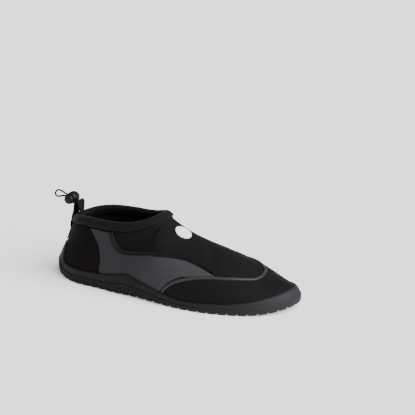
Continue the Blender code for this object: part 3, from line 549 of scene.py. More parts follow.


# material whose tone wanders and, where asked, changes along the shoe as painted light and shade, and whose weave or
# grain stands up
def finish(name, color, roughness, level=0.3, sheen=0.0, sheenTint=(1, 1, 1), weave=None, grain=None, bump=0.15,
           mottle=(60.0, 0.25), slant=0.5, along=None):
    material, shader = newMaterial(name)
    tree = material.node_tree
    place = addNode(tree, "TexCoord").outputs
    wander = {"Vector": place["Object"], "Size": mottle[0], "Depth": mottle[1]}
    tone = addNode(tree, "Group", wander, node_tree=groups["mottle"])
    shade = tone.outputs["Tone"]
    if along:  # painted light and shade: places along the shoe in metres, each with its tone
        start, end = along[0][0], along[-1][0]
        ahead = addNode(tree, "SeparateXYZ", {"Vector": place["Object"]})
        reach = addNode(tree, "MapRange", {"Value": ahead.outputs["X"], "From Min": start, "From Max": end})
        ramp = addNode(tree, "ValToRGB", {"Fac": reach.outputs["Result"]})
        stops = ramp.color_ramp.elements
        brightest = max(bright for _, bright in along)
        for x, _ in along[1:-1]:
            stops.new((x - start) / (end - start))
        for stop, (_, bright) in zip(stops, along):
            stop.color = (bright / brightest, bright / brightest, bright / brightest, 1.0)
        scaled = addNode(tree, "Math", {0: ramp.outputs["Color"], 1: brightest}, operation="MULTIPLY")
        shade = addNode(tree, "Math", {0: scaled.outputs[0], 1: shade}, operation="MULTIPLY").outputs[0]
    base = addNode(tree, "VectorMath", {0: color, "Scale": shade}, operation="SCALE")
    rough = addNode(tree, "Math", {0: tone.outputs["Tone"], 1: roughness}, operation="MULTIPLY", use_clamp=True)
    if weave:
        threads = {"Vector": place["UV"], "Threads": weave, "Slant": slant}
        surface = addNode(tree, "Group", threads, node_tree=groups["weave"])
    else:
        surface = addNode(tree, "Group", {"Vector": place["Object"], "Size": grain}, node_tree=groups["grain"])
    height = surface.outputs["Height"]
    relief = addNode(tree, "Bump", {"Height": height, "Strength": bump, "Distance": 0.0004})
    feed(tree, shader, {
        "Base Color": base.outputs[0], "Roughness": rough.outputs[0], "Normal": relief.outputs["Normal"],
        "Specular IOR Level": level, "Sheen Weight": sheen, "Sheen Roughness": 0.45, "Sheen Tint": (*sheenTint, 1.0),
    })
    return material


# weave in threads and grain in pebbles a metre
finishes = {
    "rubber": finish(
        "soleRubber", (0.0125, 0.0112, 0.0142), 0.62, level=0.16, grain=1500.0, bump=0.2, mottle=(90.0, 0.35),
        # painted light and shade: the rubber darker at the heel and waist and lighter towards the toe, where the light
        # falls
        along=((-0.03, 0.40), (0.07, 0.36), (0.13, 0.62), (0.18, 0.95), (0.22, 1.50))),
    "stretch": finish(
        "stretchCloth", (0.0042, 0.0039, 0.0043), 0.70, level=0.10, sheen=0.02, weave=1700.0, bump=0.25,
        # painted shade: the stretch cloth darker towards the heel and instep
        along=((0.02, 0.45), (0.06, 0.60), (0.10, 0.95), (0.19, 0.95))),
    "counter": finish("counterCloth", (0.0036, 0.0020, 0.0030), 0.76, level=0.07, grain=1300.0, bump=0.2),
    "grey": finish(
        "greyPanel", (0.0240, 0.0215, 0.0262), 0.62, level=0.12, sheen=0.05, weave=1500.0, bump=0.2,
        # painted light: the grey panel lighter towards the toe, where its curve faces the light
        mottle=(40.0, 0.2), along=((0.00, 0.95), (0.06, 0.90), (0.11, 1.45), (0.15, 1.55))),
    "binding": finish(
        "bindingJersey", (0.0043, 0.0043, 0.0051), 0.70, level=0.09, sheen=0.05, sheenTint=(0.8, 0.9, 1.0),
        weave=1500.0, bump=0.3, slant=0.0),
    "trim": finish("trimFilm", (0.0050, 0.0045, 0.0050), 0.50, level=0.14, grain=1800.0, bump=0.08),
    "rim": finish("rimSatin", (0.0260, 0.0245, 0.0268), 0.48, level=0.20, grain=1600.0, bump=0.06),
    "badge": finish(
        "badgeRubber", (0.94, 0.94, 0.97), 0.5, level=0.4, grain=1200.0, bump=0.08, mottle=(120.0, 0.05)),
    "webbing": finish(
        "tabWebbing", (0.0042, 0.0034, 0.0037), 0.75, level=0.10, sheen=0.03, weave=1900.0, bump=0.4, slant=1.0),
    "lock": finish("lockPlastic", (0.0032, 0.0028, 0.0029), 0.45, level=0.20, grain=700.0, bump=0.10),
    "cord": finish("cordBraid", (0.0022, 0.0020, 0.0020), 0.75, level=0.05, weave=2200.0, bump=0.5, slant=1.0),
    "lining": finish("liningKnit", (0.0070, 0.0065, 0.0070), 0.9, level=0.06, sheen=0.03, weave=1300.0, bump=0.3),
    "insole": finish("insoleCloth", (0.0180, 0.0168, 0.0185), 0.85, level=0.1, sheen=0.05, weave=1200.0, bump=0.3),
}
print("finishes ready")

# cord, lock and button at the back
cordSizes = {
    "radius": 0.9, "braid": 0.06, "steps": 140, "around": 12,
    "lockX": 9.0, "lockZ": 77.4, "tilt": 21.0, "lockRadius": 6.2, "lockLength": 18.0, "lockRibs": 16,
}
# the cord's path from the lock's middle: along the cord and up across it
cordRows = (
    (-8.6, 1.1), (-6.4, 1.1), (-3.5, 1.1), (0.0, 1.1), (5.0, 1.1), (7.2, 0.9), (9.4, 0.9), (11.8, 1.2), (14.0, 1.2),
    (16.4, 0.5), (18.2, -1.1), (19.0, -3.1), (18.9, -5.1), (17.9, -6.4), (16.2, -6.8), (14.0, -5.9), (11.8, -4.3),
    (9.4, -2.5), (7.2, -1.4), (5.0, -1.1), (0.0, -1.1), (-3.5, -1.1), (-6.4, -1.1), (-8.6, -1.1),
)


# point from the lock's middle; tilt is the cord's, in degrees against the floor
def cordPlace(along, across, y=0.0):
    a = math.radians(cordSizes["tilt"])
    x = cordSizes["lockX"] - along * math.cos(a) + across * math.sin(a)
    z = cordSizes["lockZ"] + along * math.sin(a) + across * math.cos(a)
    return np.stack(np.broadcast_arrays(x, y, z), -1)


# evenly spaced points on the smooth line through a few
def arcSpaced(points, count):
    points = np.array(points, float)
    steps = travelled(points)
    curves = [smoothCurve(steps, points[:, k]) for k in range(points.shape[1])]
    fine = np.linspace(0, steps[-1], 1201)
    dense = np.stack([c(fine) for c in curves], -1)
    run = travelled(dense)
    even = np.interp(np.linspace(0, run[-1], count), run, fine)
    return np.stack([c(even) for c in curves], -1), run[-1]


def buildCord():
    steps = cordSizes["steps"]
    flat, run = arcSpaced(cordRows, steps + 1)
    centre = cordPlace(flat[:, 0], flat[:, 1])
    ahead = unit(np.gradient(centre, axis=0))
    side = np.tile([0.0, 1.0, 0.0], (len(centre), 1))
    third = np.cross(ahead, side)
    work = bmesh.new()

    def place(u, v):
        k = np.round(u * steps).astype(int)
        angle = 2 * np.pi * v
        braid = 1 + cordSizes["braid"] * np.sin(3 * angle + k * 0.9) * np.sin(3 * angle - k * 0.9)
        close = np.where((k == 0) | (k == steps), 0.0, 1.0)
        radius = cordSizes["radius"] * braid * close
        return centre[k] + side[k] * (radius * np.cos(angle))[:, None] + third[k] * (radius * np.sin(angle))[:, None]

    gridInto(work, steps, cordSizes["around"], place, (run, 5.0))
    cord = finished("drawcordBraid", work, [finishes["cord"]], ["drawcord"])
    followed = [*centre[::3], centre[-1]]
    path = [toScene(point) for point in followed]
    print("cord length", run)
    return cord, path, run * mm


# outlines turned round the lock's axis: radius and height as shares of the lock's
lockRows = (
    (0.00, -0.50), (0.30, -0.498), (0.52, -0.48), (0.72, -0.44), (0.88, -0.38), (0.97, -0.30), (1.00, -0.20),
    (1.00, -0.08), (0.96, 0.02), (0.90, 0.085), (0.86, 0.105), (0.84, 0.125), (0.84, 0.145), (0.78, 0.168),
    (0.66, 0.17), (0.00, 0.17),
)
buttonRows = (
    (0.00, 0.19), (0.50, 0.19), (0.66, 0.195), (0.74, 0.215), (0.80, 0.25), (0.81, 0.30), (0.80, 0.36),
    (0.74, 0.41), (0.60, 0.455), (0.40, 0.47), (0.34, 0.465), (0.30, 0.475), (0.16, 0.495), (0.00, 0.50),
)


# lies across the heel, its button end on the outer side; ribs is the depth of its grip
def turnedPiece(name, rows, replaced, ribs=0.0):
    line = np.array(rows) * [cordSizes["lockRadius"], cordSizes["lockLength"]]
    steps = travelled(line)
    work = bmesh.new()

    def place(u, v):
        angle = 2 * np.pi * u
        radius, height = (np.interp(v * steps[-1], steps, line[:, k]) for k in (0, 1))
        belt = np.clip((radius / cordSizes["lockRadius"] - 0.9) / 0.1, 0.0, 1.0)
        radius = radius * (1 - ribs * belt * (0.5 + 0.5 * np.cos(cordSizes["lockRibs"] * angle)) ** 2)
        return cordPlace(radius * np.cos(angle), radius * np.sin(angle), -height)

    gridInto(work, 96, 60, place, (35.0, 20.0))
    return finished(name, work, [finishes["lock"]], replaced)


cord, cordPath, cordRun = buildCord()
lockBody = turnedPiece("cordLockBody", lockRows, ["cord_lock"], ribs=0.035)
lockButton = turnedPiece("cordLockButton", buttonRows, ["lock_button"])
print("cord and lock made")

# the sole: its tread's cross grooves reach in from the edge, and fine wavy sipes fill the middle
soleSizes = {
    "columns": 1200, "axisStart": 0.06, "axisEnd": 0.94, "ribbedShare": 0.52, "foot": 1.5,
    "grooves": 60, "grooveDepth": 1.6, "reach": 14.0, "middle": 20.0, "sipe": 0.8, "sipeEvery": 5.4,
    "dimple": 0.75, "dimpleRow": 2.7, "dimplesPerGroove": 3, "toeDimple": 0.7,
    "foreStart": 0.56, "foreFull": 0.66, "toeStart": 0.80, "toeFull": 0.92,
}

fineW = np.linspace(-1, 1, 4001)
outlineRun = travelled(outline(fineW))
aroundLength = outlineRun[-1]


# station at an even share of the way round, from the toe over the outer side
def aroundW(u):
    return np.interp(u * aroundLength, outlineRun, fineW)


# point at a height on the upper's surface moved out by far; upright below the upper's edge
def wallAt(w, z, far):
    foot = outline(w)
    t = heightShare(w, np.maximum(z, seat(foot[..., 0])), far)
    p = formAt(w, t) + outAt(w, t) * far
    p[..., 2] = z
    return p


# smooth line through three points at 0, a half and 1
def throughThree(points, s):
    return points[0] * (1 - s) * (1 - 2 * s) + points[1] * 4 * s * (1 - s) + points[2] * s * (2 * s - 1)


# staggered slanting dimples at a run round the sole and a height z, up to the height given by room
def dimples(run, period, z, room):
    every, tall = period / soleSizes["dimplesPerGroove"], soleSizes["dimpleRow"]
    offset = np.mod(np.floor(z / tall), 2) * 0.5
    du = (np.mod(run / every + offset, 1.0) - 0.5) * every
    dz = (np.mod(z / tall, 1.0) - 0.5) * tall
    return np.exp(-(((du + 0.35 * dz) / 0.78) ** 2) - (dz / 0.95) ** 2) * np.clip(room, 0, 1)


# piece whose grid runs through rows of points round the shoe
def piecedRows(name, rows, uvSize, material, replaced):
    up, around = len(rows) - 1, len(rows[0]) - 1
    work = bmesh.new()

    def place(u, v):
        return rows[np.round(v * up).astype(int), np.round(u * around).astype(int)]

    gridInto(work, around, up, place, uvSize)
    return finished(name, work, [material], replaced)


# 1 within a groove's width of the nearest groove, falling to 0
def groove(distance, width, square=4):
    return np.exp(-((distance / width) ** square))


def buildSole():
    columns = soleSizes["columns"]
    w = aroundW(np.arange(columns + 1) / columns)
    w[0], w[-1] = -1.0, 1.0
    axis = middleLine(w, soleSizes["axisStart"], soleSizes["axisEnd"])
    foot, out = outline(w), outward(w)
    foot[:, 2] = underside(foot[:, 0])
    top = rubberTop(w)
    half = foot[:, 2] + soleSizes["ribbedShare"] * np.minimum(top - foot[:, 2], form["cupHeight"])
    thick = form["gap"] + form["cupWall"]
    ribbed = thick + form["rib"]
    rows, kinds = [], []  # kinds: how much each pattern works there

    def add(points, bottom=0.0, rib=0.0, band=0.0):
        rows.append(points)
        kinds.append((bottom, rib, band))

    edge = foot + out * (ribbed - 1.2)
    for share in np.linspace(0, 1, 34):
        p = mix(axis, edge, share)
        p[:, 2] = underside(p[:, 0])
        add(p, bottom=1.0)
    corner = foot + out * ribbed
    add(corner - out * 0.55 + upward * 0.25, bottom=0.8)
    add(corner - out * 0.12 + upward * 0.85, bottom=0.5, rib=0.6)
    low = corner + upward * soleSizes["foot"]
    add(low, rib=0.8)
    coarse = [low] + [wallAt(w, mix(foot[:, 2] + soleSizes["foot"], half - 0.5, s), ribbed) for s in (0.5, 1.0)]
    for s in np.linspace(0, 1, 17)[1:]:
        add(throughThree(coarse, s), rib=1.0)
    step = wallAt(w, half, thick)
    add(mix(coarse[2], step, 0.5) + out * 0.12 + upward * 0.12, rib=0.3)
    add(step + upward * 0.05, band=0.2)
    coarse = [wallAt(w, mix(half + 0.1, top - 0.7, s), thick) for s in (0.0, 0.5, 1.0)]
    for s in np.linspace(0, 1, 8)[1:]:
        add(throughThree(coarse, s), band=1.0)
    add(wallAt(w, top - 0.25, thick - 0.12))
    add(wallAt(w, top, thick - 0.6))
    room = form["gap"] * 0.3
    add(wallAt(w, top, room + 0.25))
    for s in (0.05, 0.35, 0.7, 1.0):
        add(wallAt(w, mix(top, foot[:, 2] + form["floor"], s), room))
    inside = axis + upward * form["floor"]
    low = mix(inside, rows[-1], 0.6)
    low[:, 2] = underside(low[:, 0]) + form["floor"]
    add(low)
    add(inside)
    rows = np.array(rows)

    # patterns: slots round the heel and the waist, small dimples round the forefoot, over the whole side at the toe
    run = np.arange(columns + 1) / columns * aroundLength
    period = aroundLength / soleSizes["grooves"]
    share = foot[:, 0] / form["length"]
    fore, toeMix = (
        np.clip((share - soleSizes[name + "Start"]) / (soleSizes[name + "Full"] - soleSizes[name + "Start"]), 0.0, 1.0)
        for name in ("fore", "toe")
    )
    foreMix = fore * fore * (3 - 2 * fore)
    for k in range(len(rows)):
        bottom, rib, band = kinds[k]
        p = rows[k]
        z = p[:, 2] - foot[:, 2]
        if rib > 0:
            wavy = run + 0.7 * np.sin(z * 1.5 + run * 0.37)
            main = np.abs(np.mod(wavy / period, 1.0) - 0.5) * period  # the solids' own grooves
            small = np.abs(np.mod(wavy / period + 0.5, 1.0) - 0.5) * period
            slot = np.maximum(groove(main, 0.95), groove(small, 0.75) * np.clip(z / 1.5 - 0.6, 0, 1))
            slot = slot * np.clip((half - foot[:, 2] - z - 0.8) / 1.2, 0.0, 1.0)
            cutEdge = groove(main, 0.9) * np.clip(1.6 - z / 1.6, 0.0, 1.0)
            small = np.maximum(dimples(run, period, z, half - foot[:, 2] - z), cutEdge)
            depth = soleSizes["dimple"] * rib * mix(slot, small, foreMix)
            rows[k] = p - out * depth[:, None]
        if band > 0.5:
            high = dimples(run, period, z, (top - foot[:, 2] - z - 1.5) / 1.5)
            rows[k] = p - out * (soleSizes["dimple"] * soleSizes["toeDimple"] * toeMix * high)[:, None]
        if bottom > 0:
            main = np.abs(np.mod(run / period, 1.0) - 0.5) * period
            far = np.linalg.norm((edge - p)[:, :2], axis=1)
            sideways = np.abs(out[:, 1])
            beyond = np.maximum(np.abs(foot[:, 1] - swing(share)) - soleSizes["middle"] / 2, 0)
            limit = np.minimum(soleSizes["reach"], beyond / np.maximum(sideways, 0.5))
            limit = np.where(sideways > 0.5, limit, soleSizes["reach"])
            lug = groove(main, 1.15, 6) * np.clip(limit - far + 0.5, 0, 1)
            sipes = 0.5 + 0.5 * np.cos(2 * np.pi * (p[:, 0] / soleSizes["sipeEvery"] + 0.35 * np.sin(p[:, 1] * 0.55)))
            sipes = np.clip((sipes - 0.72) / 0.2, 0, 1) * np.clip(far - limit, 0, 1)
            cutIn = np.maximum(lug * soleSizes["grooveDepth"], sipes * soleSizes["sipe"])
            rows[k] = rows[k] + upward * (bottom * cutIn)[:, None]

    return piecedRows("outsoleRubber", rows, (aroundLength, 120.0), finishes["rubber"], ["outsole"])


buildSole()
print("sole made")


# the insole, a foam sheet on the cup's floor
insoleSizes = {"columns": 360, "axisStart": 0.08, "axisEnd": 0.92, "room": 0.3, "crown": 0.25}


def buildInsole():
    w = np.linspace(-1, 1, insoleSizes["columns"] + 1)
    axis = middleLine(w, insoleSizes["axisStart"], insoleSizes["axisEnd"]) + upward * (form["floor"] + form["gap"])
    start = seat(outline(w)[:, 0])
    rows = [axis]
    for z, inset in ((0.0, 0.7), (1.2, 0.3), (2.6, 0.25), (form["insole"] - 0.35, 0.55), (form["insole"], 1.2)):
        t = heightShare(w, start + z)
        inwards = form["wall"] + form["gap"] + insoleSizes["room"] + inset
        p = formAt(w, t) - outAt(w, np.maximum(t, 0.02)) * inwards
        p[:, 2] = start + z
        rows.append(p)
    rim = rows[-1]
    centre = axis + upward * form["insole"]
    for s in np.linspace(0, 1, 15)[1:]:
        p = mix(rim, centre, s)
        p[:, 2] = seat(p[:, 0]) + form["insole"] + insoleSizes["crown"] * np.sin(np.pi * s)
        rows.append(p)
    return piecedRows("insoleCloth", np.array(rows), (600.0, 60.0), finishes["insole"], ["insole"])


buildInsole()

# the upper, one shell open at the collar and underneath
upperSizes = {"columns": 560, "rows": 46, "hemRows": 3}


def buildUpper():
    columns, rows = upperSizes["columns"], upperSizes["rows"]
    work = bmesh.new()

    def place(u, v):
        return skinAt(2 * u - 1, v, np.zeros(u.shape))

    gridInto(work, columns, rows, place, (560.0, 75.0))
    share = form["collarEnd"]

    def hem(u, v):
        w = mix(-share, share, u)
        edge = skinAt(w, np.ones(u.shape), np.zeros(u.shape))
        return np.where((v < 1e-6)[:, None], edge, collarPoint(w) + collarFrame(w)[1] * (form["hem"] * v)[:, None])

    # the hem inside the binding shares the shell's columns
    inside = int(round(share * columns / 2)) * 2
    gridInto(work, inside, upperSizes["hemRows"], hem, (560.0 * share, form["hem"]))
    bmesh.ops.remove_doubles(work, verts=work.verts, dist=2e-5)
    bmesh.ops.recalc_face_normals(work, faces=work.faces)
    upper = finished("upperShell", work, [finishes["stretch"], finishes["lining"]], ["upper"], closed=False)
    side = upper.data.polygons[len(upper.data.polygons) // 3]
    middle = Vector(toScene((form["length"] * 0.45, 0.0, 25.0)))
    if (side.center - middle).dot(side.normal) < 0:
        upper.data.flip_normals()
    wall = upper.modifiers.new("wall", "SOLIDIFY")
    wall.thickness = form["wall"] * mm
    wall.offset = -1.0
    wall.material_offset = 1
    wall.material_offset_rim = 1
    return upper


buildUpper()
print("upper made")


# a closed thin panel: its top stands height(u, v) off the upper, and its back lies under millimetres inside it
def panelPiece(name, across, up, place, height, materials, replaced, uvSize, warpU=None, warpV=None):
    under = 0.25
    work = bmesh.new()

    def top(u, v):
        w, t = place(u, v)
        return skinAt(w, t, height(u, v))

    def back(u, v):
        w, t = place(u, v)
        border = np.minimum(np.minimum(u, 1 - u), np.minimum(v, 1 - v)) < 1e-6
        return skinAt(w, t, np.where(border, height(u, v), -under))

    gridInto(work, across, up, top, uvSize, 0, warpU, warpV)
    gridInto(work, across, up, back, uvSize, 0, warpU, warpV)
    return finished(name, work, materials, replaced)


def counterEdge(t):
    rows = sorted(counterSeam, key=lambda row: row[1])
    return smoothCurve([row[1] for row in rows], [row[0] for row in rows])(t)


# the heel counter, with a flat strip along its front edges and a soft pad between
counterSizes = {
    "width": 104.0, "height": 41.0, "strip": 3.8, "thick": 1.0, "foot": 13.0, "pad": 0.3, "seam": 0.45,
    "spacing": (0.0, 0.12, 0.3, 0.6, 1.0, 1.6, 2.4, 3.0, 3.4, 3.8, 4.2, 5.0),
}


def buildCounter():
    across, warpU = towardsEdges(110, counterSizes["width"], counterSizes["spacing"])
    up, warpV = towardsEdges(30, counterSizes["height"])

    def place(u, v):
        share = 2 * u - 1
        low = np.zeros(u.shape)
        for _ in range(4):
            low = heightShare(share * counterEdge(low), counterSizes["foot"])
        t = mix(low, form["seamTop"], v)
        return share * counterEdge(t), t

    def height(u, v):
        side = np.minimum(u, 1 - u) * counterSizes["width"]
        thick = counterSizes["thick"] * rounded(side, 0.9) * rounded(v * counterSizes["height"] + 0.5, 0.6)
        strip = np.exp(-(((side - counterSizes["strip"]) / 0.45) ** 2))
        pad = np.clip((side - counterSizes["strip"]) / 8.0, 0.0, 1.0) * np.sin(np.pi * np.clip(v, 0, 1)) ** 0.7
        return thick - counterSizes["seam"] * strip + counterSizes["pad"] * pad

    return panelPiece(
        "heelCounter", across, up, place, height, [finishes["counter"]], ["heel_counter"],
        (counterSizes["width"], counterSizes["height"]), warpU, warpV)


buildCounter()

# panels, their trims and the toe's rim; foot: how far a panel dips behind the rubber's edge
panelSizes = {
    "length": 190.0, "height": 34.0, "thick": 0.8, "edge": 0.8, "swell": 0.1, "foot": 0.6,
    "spacing": (0.0, 0.2, 0.5, 0.9, 1.5), "trimLength": 150.0, "trimWidth": 5.0, "trimThick": 1.25,
    "trimTaper": 0.75, "trimLine": 0.55, "rimWidth": 3.6, "rimHeight": 1.5, "capLength": 230.0,
}


def buildSide(side, name):
    index = range(len(panelRows))
    station, backHeight, trimShare = (smoothCurve(index, [row[k] for row in panelRows]) for k in (0, 1, 2))
    across, warpU = towardsEdges(150, panelSizes["length"], (0.0, 0.15, 0.4, 0.8, 1.4))
    up, warpV = towardsEdges(22, panelSizes["height"], panelSizes["spacing"])

    def place(u, v):
        row = u * (len(index) - 1)
        w = side * station(row)
        t = np.maximum(backHeight(row), heightShare(w, rubberTop(w) - panelSizes["foot"]))
        endW, endT = beside(trimLine, side, trimShare(row), np.full(u.shape, panelSizes["trimWidth"] / 2 - 0.5))
        return mix(w, endW, v), mix(t, np.minimum(endT, form["seamTop"]), v)

    def height(u, v):
        w, t = place(u, np.zeros(u.shape))
        endW, endT = place(u, np.ones(u.shape))
        run = np.linalg.norm(formAt(w, t) - formAt(endW, endT), axis=-1)
        border = np.minimum(u * panelSizes["length"], np.minimum(v, 1 - v) * run)
        return panelSizes["thick"] * rounded(border, panelSizes["edge"]) + panelSizes["swell"] * np.clip(border / 6, 0, 1)

    panelPiece(
        "greyPanel" + name, across, up, place, height, [finishes["grey"]],
        ["side_panel_" + name.lower()], (panelSizes["length"], panelSizes["height"]), warpU, warpV)

    def band(u, v):
        width = panelSizes["trimWidth"] * (1 - panelSizes["trimTaper"] * u**4)
        w, t = beside(trimLine, side, u, (0.5 - v) * width)
        return w, np.minimum(t, form["seamTop"])

    def bandHeight(u, v):
        edge = rounded(np.minimum(v, 1 - v) * panelSizes["trimWidth"], 0.7)
        line = np.exp(-(((v - 0.5) / 0.13) ** 2)) * panelSizes["trimLine"]
        tip = rounded((1 - u) * panelSizes["trimLength"], 1.5)
        return (panelSizes["trimThick"] - line) * edge * tip

    panelPiece(
        "trimBand" + name, 220, 16, band, bandHeight, [finishes["trim"]], ["trim_" + name.lower()],
        (panelSizes["trimLength"], panelSizes["trimWidth"]))


buildSide(-1, "Outer")
buildSide(1, "Inner")
print("side panels made")


# the rim's middle line over the toe, from the outer side to the inner, with directions out and across
def rimPlaces(count):
    half = {}
    for rows, side in ((outerRim, -1), (innerRim, 1)):
        share = np.linspace(0, 1, count)
        w, t = lineAt(rows, side, share)
        t = np.maximum(t, heightShare(w, rubberTop(w) - 0.5))
        half[side] = (w, t)
    w = np.concatenate((half[-1][0], half[1][0][::-1][1:]))
    t = np.concatenate((half[-1][1], half[1][1][::-1][1:]))
    out = outAt(w, t)
    middle = count - 1
    out[middle, 1] = 0.0
    out = unit(out)
    points = formAt(w, t)
    ahead = unit(np.gradient(points, axis=0))
    across = unit(np.cross(ahead, out))
    return points, out, across, w, t


# low rounded band over the seam of the toe cap
def buildRim():
    points, out, across, w, t = rimPlaces(90)
    points = points + out * creased(w, t)[:, None]
    count = len(points) - 1
    work = bmesh.new()
    width, high = panelSizes["rimWidth"], panelSizes["rimHeight"]

    def place(u, v):
        k = np.round(u * count).astype(int)
        angle = 2 * np.pi * v
        tip = rounded(np.minimum(k, count - k) * 1.2, 2.5)
        x = np.cos(angle) * width / 2
        y = np.where(np.sin(angle) > 0, np.sin(angle) * high, np.sin(angle) * 0.4)
        return points[k] + across[k] * (x * mix(0.3, 1.0, tip))[:, None] + out[k] * (y * tip)[:, None]

    gridInto(work, count, 20, place, (170.0, 9.0))
    return finished("toeRimPiping", work, [finishes["rim"]], ["toe_rim"])


buildRim()


# cap over the toes, from the rim down to the rubber
def buildToeCap():
    ends = []
    for rows, side in ((outerRim, -1), (innerRim, 1)):
        share = np.linspace(0, 1, 60)
        w, t = beside(rows, side, share, np.full(60, panelSizes["rimWidth"] / 2 - 0.7))
        keep = t < 0.99
        line = np.stack([w[keep], t[keep]], -1)
        last = rows[-1][0] + 0.008
        over = np.stack([side * np.linspace(last, 1.0, 40), np.ones(40)], -1)
        ends.append(np.concatenate((line, over)))
    line = np.concatenate((ends[0], ends[1][::-1][1:]))
    count = len(line) - 1
    up, warpV = towardsEdges(26, panelSizes["height"], panelSizes["spacing"])
    least = 0.004  # smallest share of a section between the cap's lower and upper edges

    def place(u, v):
        k = np.round(u * count).astype(int)
        w, t = line[k, 0], line[k, 1]
        low = heightShare(w, rubberTop(w) - panelSizes["foot"])
        return w, mix(low, np.maximum(t, low + least), v)

    def height(u, v):
        k = np.round(u * count).astype(int)
        low = heightShare(line[k, 0], rubberTop(line[k, 0]) - panelSizes["foot"])
        run = np.maximum(line[k, 1] - low, least) * 60.0
        onCrest = line[k, 1] > 0.999
        border = np.minimum(np.where(onCrest, 9.0, (1 - v) * run), np.minimum(k, count - k) * 1.0)
        return panelSizes["thick"] * rounded(border, panelSizes["edge"]) * rounded(v * run + 0.4, 0.6)

    return panelPiece(
        "toeCap", count, up, place, height, [finishes["stretch"]], ["toe_cap"],
        (panelSizes["capLength"], panelSizes["height"]), None, warpV)


buildToeCap()
print("toe made")

# the collar's binding, its lower edge gathered by the seam
bindingSizes = {"columns": 330, "gather": 0.12, "gathers": 95}


def buildBinding():
    rows = np.array(bindingRows)
    outer = arcSpaced(rows[:11], 23)[0]
    loop = np.concatenate((outer, rows[11:], rows[:1]))
    count = len(loop) - 1
    work = bmesh.new()

    def place(u, v):
        k = np.round(v * count).astype(int)
        w = mix(-form["collarEnd"], form["collarEnd"], u)
        out, up = collarFrame(w)
        pleats = np.sin(2 * np.pi * u * bindingSizes["gathers"] + 2.0 * np.sin(u * 40))
        gather = bindingSizes["gather"] * pleats * np.exp(-((loop[k, 1] - 0.8) / 1.6) ** 2)
        far = loop[k, 0] + np.where(loop[k, 0] > 0.5, gather, 0.0)
        return collarPoint(w) + out * far[:, None] + up * loop[k, 1][:, None]

    gridInto(work, bindingSizes["columns"], count, place, (300.0, 28.0))
    return finished("collarBinding", work, [finishes["binding"]], ["collar_binding"])


buildBinding()

# badge, left bare
badgeSizes = {"station": -0.511, "height": 0.921, "length": 17.8, "width": 14.0}
# from its middle out: share of its half size, height over the upper
badgeRows = (
    (0.0, 0.95), (0.5, 0.95), (0.82, 0.93), (0.865, 0.80), (0.885, 0.80), (0.91, 1.12), (0.95, 1.25),
    (0.985, 1.05), (1.0, 0.5), (1.0, -0.3),
)


def buildBadge():
    w0, t0 = np.array(badgeSizes["station"]), np.array(badgeSizes["height"])
    out = outAt(w0, t0)
    ahead = crestPoint(np.array(-0.56)) - crestPoint(np.array(-0.50))
    ahead = unit(ahead - out * np.dot(ahead, out))
    across = np.cross(out, ahead)
    profile = np.array(badgeRows)
    count = len(profile) - 1
    work = bmesh.new()

    def place(u, v):
        k = np.round(v * count).astype(int)
        angle = 2 * np.pi * u
        far = ahead * np.cos(angle)[:, None] * badgeSizes["length"] / 2
        far = far + across * np.sin(angle)[:, None] * badgeSizes["width"] / 2
        w, t = shiftedTo(np.full(u.shape, w0), np.full(u.shape, t0), far * profile[k, 0][:, None])
        return formAt(w, t) + outAt(w, t) * profile[k, 1][:, None]

    gridInto(work, 72, count, place, (55.0, 12.0))
    bmesh.ops.holes_fill(work, edges=[e for e in work.edges if e.is_boundary])
    return finished("sideBadge", work, [finishes["badge"]], ["badge"])


buildBadge()

# pull tab of webbing
tabSizes = {
    "width": 13.0, "thick": 1.2, "low": 1.2, "across": 52, "along": 260, "threadAcross": 0.25, "threadAlong": 0.46,
    "twill": 0.16, "edge": 0.45,
}


# the tab's middle line at a distance from the heel's middle
def tapeLine(y):
    side = -1.0 if y < 0 else 1.0

    def atWidth(reading):
        low, high = 0.0, 0.2
        for _ in range(26):
            middle = (low + high) / 2
            low, high = (middle, high) if abs(float(reading(np.array(side * middle))[1])) < abs(y) else (low, middle)
        return np.array(side * (low + high) / 2)

    line = []
    start = float(heightShare(np.array(0.0), rubberTop(np.array(0.0)) + tabSizes["low"]))
    far = form["gap"] + form["overlay"] + 1.5 * form["gap"] + tabSizes["thick"] / 2
    for share in (0.0, 0.25, 0.5, 0.75, 0.95):
        t = np.array(mix(start, 0.97, share))
        w = atWidth(lambda s: formAt(s, t))
        line.append(formAt(w, t) + outAt(w, t) * (far + 1.2 * max(share - 0.8, 0.0) / 0.15))
    middle = collarPoint(np.array(0.0))
    out, up = collarFrame(np.array(0.0))
    w = atWidth(collarPoint)
    base = collarPoint(w)
    turned, rising = collarFrame(w)
    for x, z, freedom in tapeRows:
        p = np.array([x, 0.0, z]) - middle
        n, d = np.dot(p, out), np.dot(p, up)
        hung = middle + p + np.array([0.0, y, 0.0])
        line.append(mix(base + turned * n + rising * d, hung, freedom))
    return np.array(line)


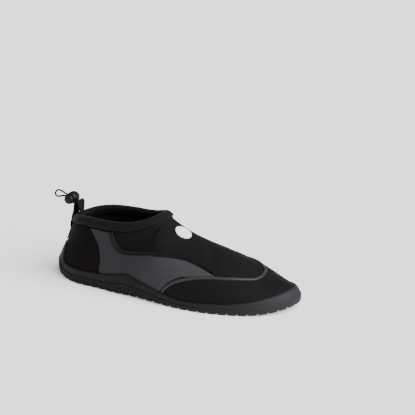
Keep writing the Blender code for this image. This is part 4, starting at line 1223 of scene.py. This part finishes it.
def buildTab():
    across, along = tabSizes["across"], tabSizes["along"]
    shares = np.linspace(-0.5, 0.5, 9)
    coarse = np.array([arcSpaced(tapeLine(tabSizes["width"] * s), along + 1)[0] for s in shares])
    fine = np.empty((across + 1, along + 1, 3))
    for k in range(3):
        for j in range(along + 1):
            fine[:, j, k] = smoothCurve(shares, coarse[:, j, k])(np.linspace(-0.5, 0.5, across + 1))
    normal = unit(np.cross(np.gradient(fine, axis=1), np.gradient(fine, axis=0)))
    if normal[0, 0, 0] > 0:
        normal = -normal
    work = bmesh.new()
    half = tabSizes["thick"] / 2

    def layer(sign):
        def place(u, v):
            i, j = np.round(u * across).astype(int), np.round(v * along).astype(int)
            width, run = i * tabSizes["threadAcross"], j * tabSizes["threadAlong"]
            twill = np.sin(2 * np.pi * (width + run * 0.6)) * np.sin(2 * np.pi * (width - run * 0.6))
            ends = np.minimum(j, along - j) * tabSizes["threadAlong"]
            edge = rounded(np.minimum(np.minimum(i, across - i) * tabSizes["threadAcross"], ends), tabSizes["edge"])
            high = (half - 0.18 + tabSizes["twill"] * twill) * edge
            return fine[i, j] + normal[i, j] * (sign * high)[:, None]
        return place

    for sign in (1.0, -1.0):
        gridInto(work, across, along, layer(sign), (tabSizes["width"], 120.0))
    return finished("pullTabWebbing", work, [finishes["webbing"]], ["pull_tab"])


buildTab()
print("collar, badge and tab made")

# floor and light; from: the way to the sun, spread: its width in degrees
light = {"world": 0.30, "floor": 0.40, "floorSize": 6.0, "sun": 7.0, "spread": 60.0, "from": (1.0, -0.12, 0.9)}


def buildStage():
    work = bmesh.new()
    bmesh.ops.create_grid(work, x_segments=1, y_segments=1, size=light["floorSize"])
    mesh = bpy.data.meshes.new("paleFloor")
    work.to_mesh(mesh)
    work.free()
    floor = newObject("paleFloor", mesh)
    material, shader = newMaterial("floorPaper")
    feed(material.node_tree, shader, {
        "Base Color": (0.92, 0.92, 0.92, 1.0), "Roughness": 0.9, "Specular IOR Level": 0.1,
        "Emission Color": (1.0, 1.0, 1.0, 1.0), "Emission Strength": light["floor"],
    })
    mesh.materials.append(material)
    world = bpy.data.worlds.new("studio")
    bpy.context.scene.world = world
    world.use_nodes = True
    sky = world.node_tree.nodes["Background"].inputs
    sky["Color"].default_value = (1.0, 1.0, 1.0, 1.0)
    sky["Strength"].default_value = light["world"]

    lamp = bpy.data.lights.new("wideSun", "SUN")
    lamp.energy = light["sun"]
    lamp.angle = math.radians(light["spread"])
    sun = newObject("wideSun", lamp)
    sun.rotation_euler = Vector(light["from"]).to_track_quat("Z", "Y").to_euler()


buildStage()
print("floor and light ready")
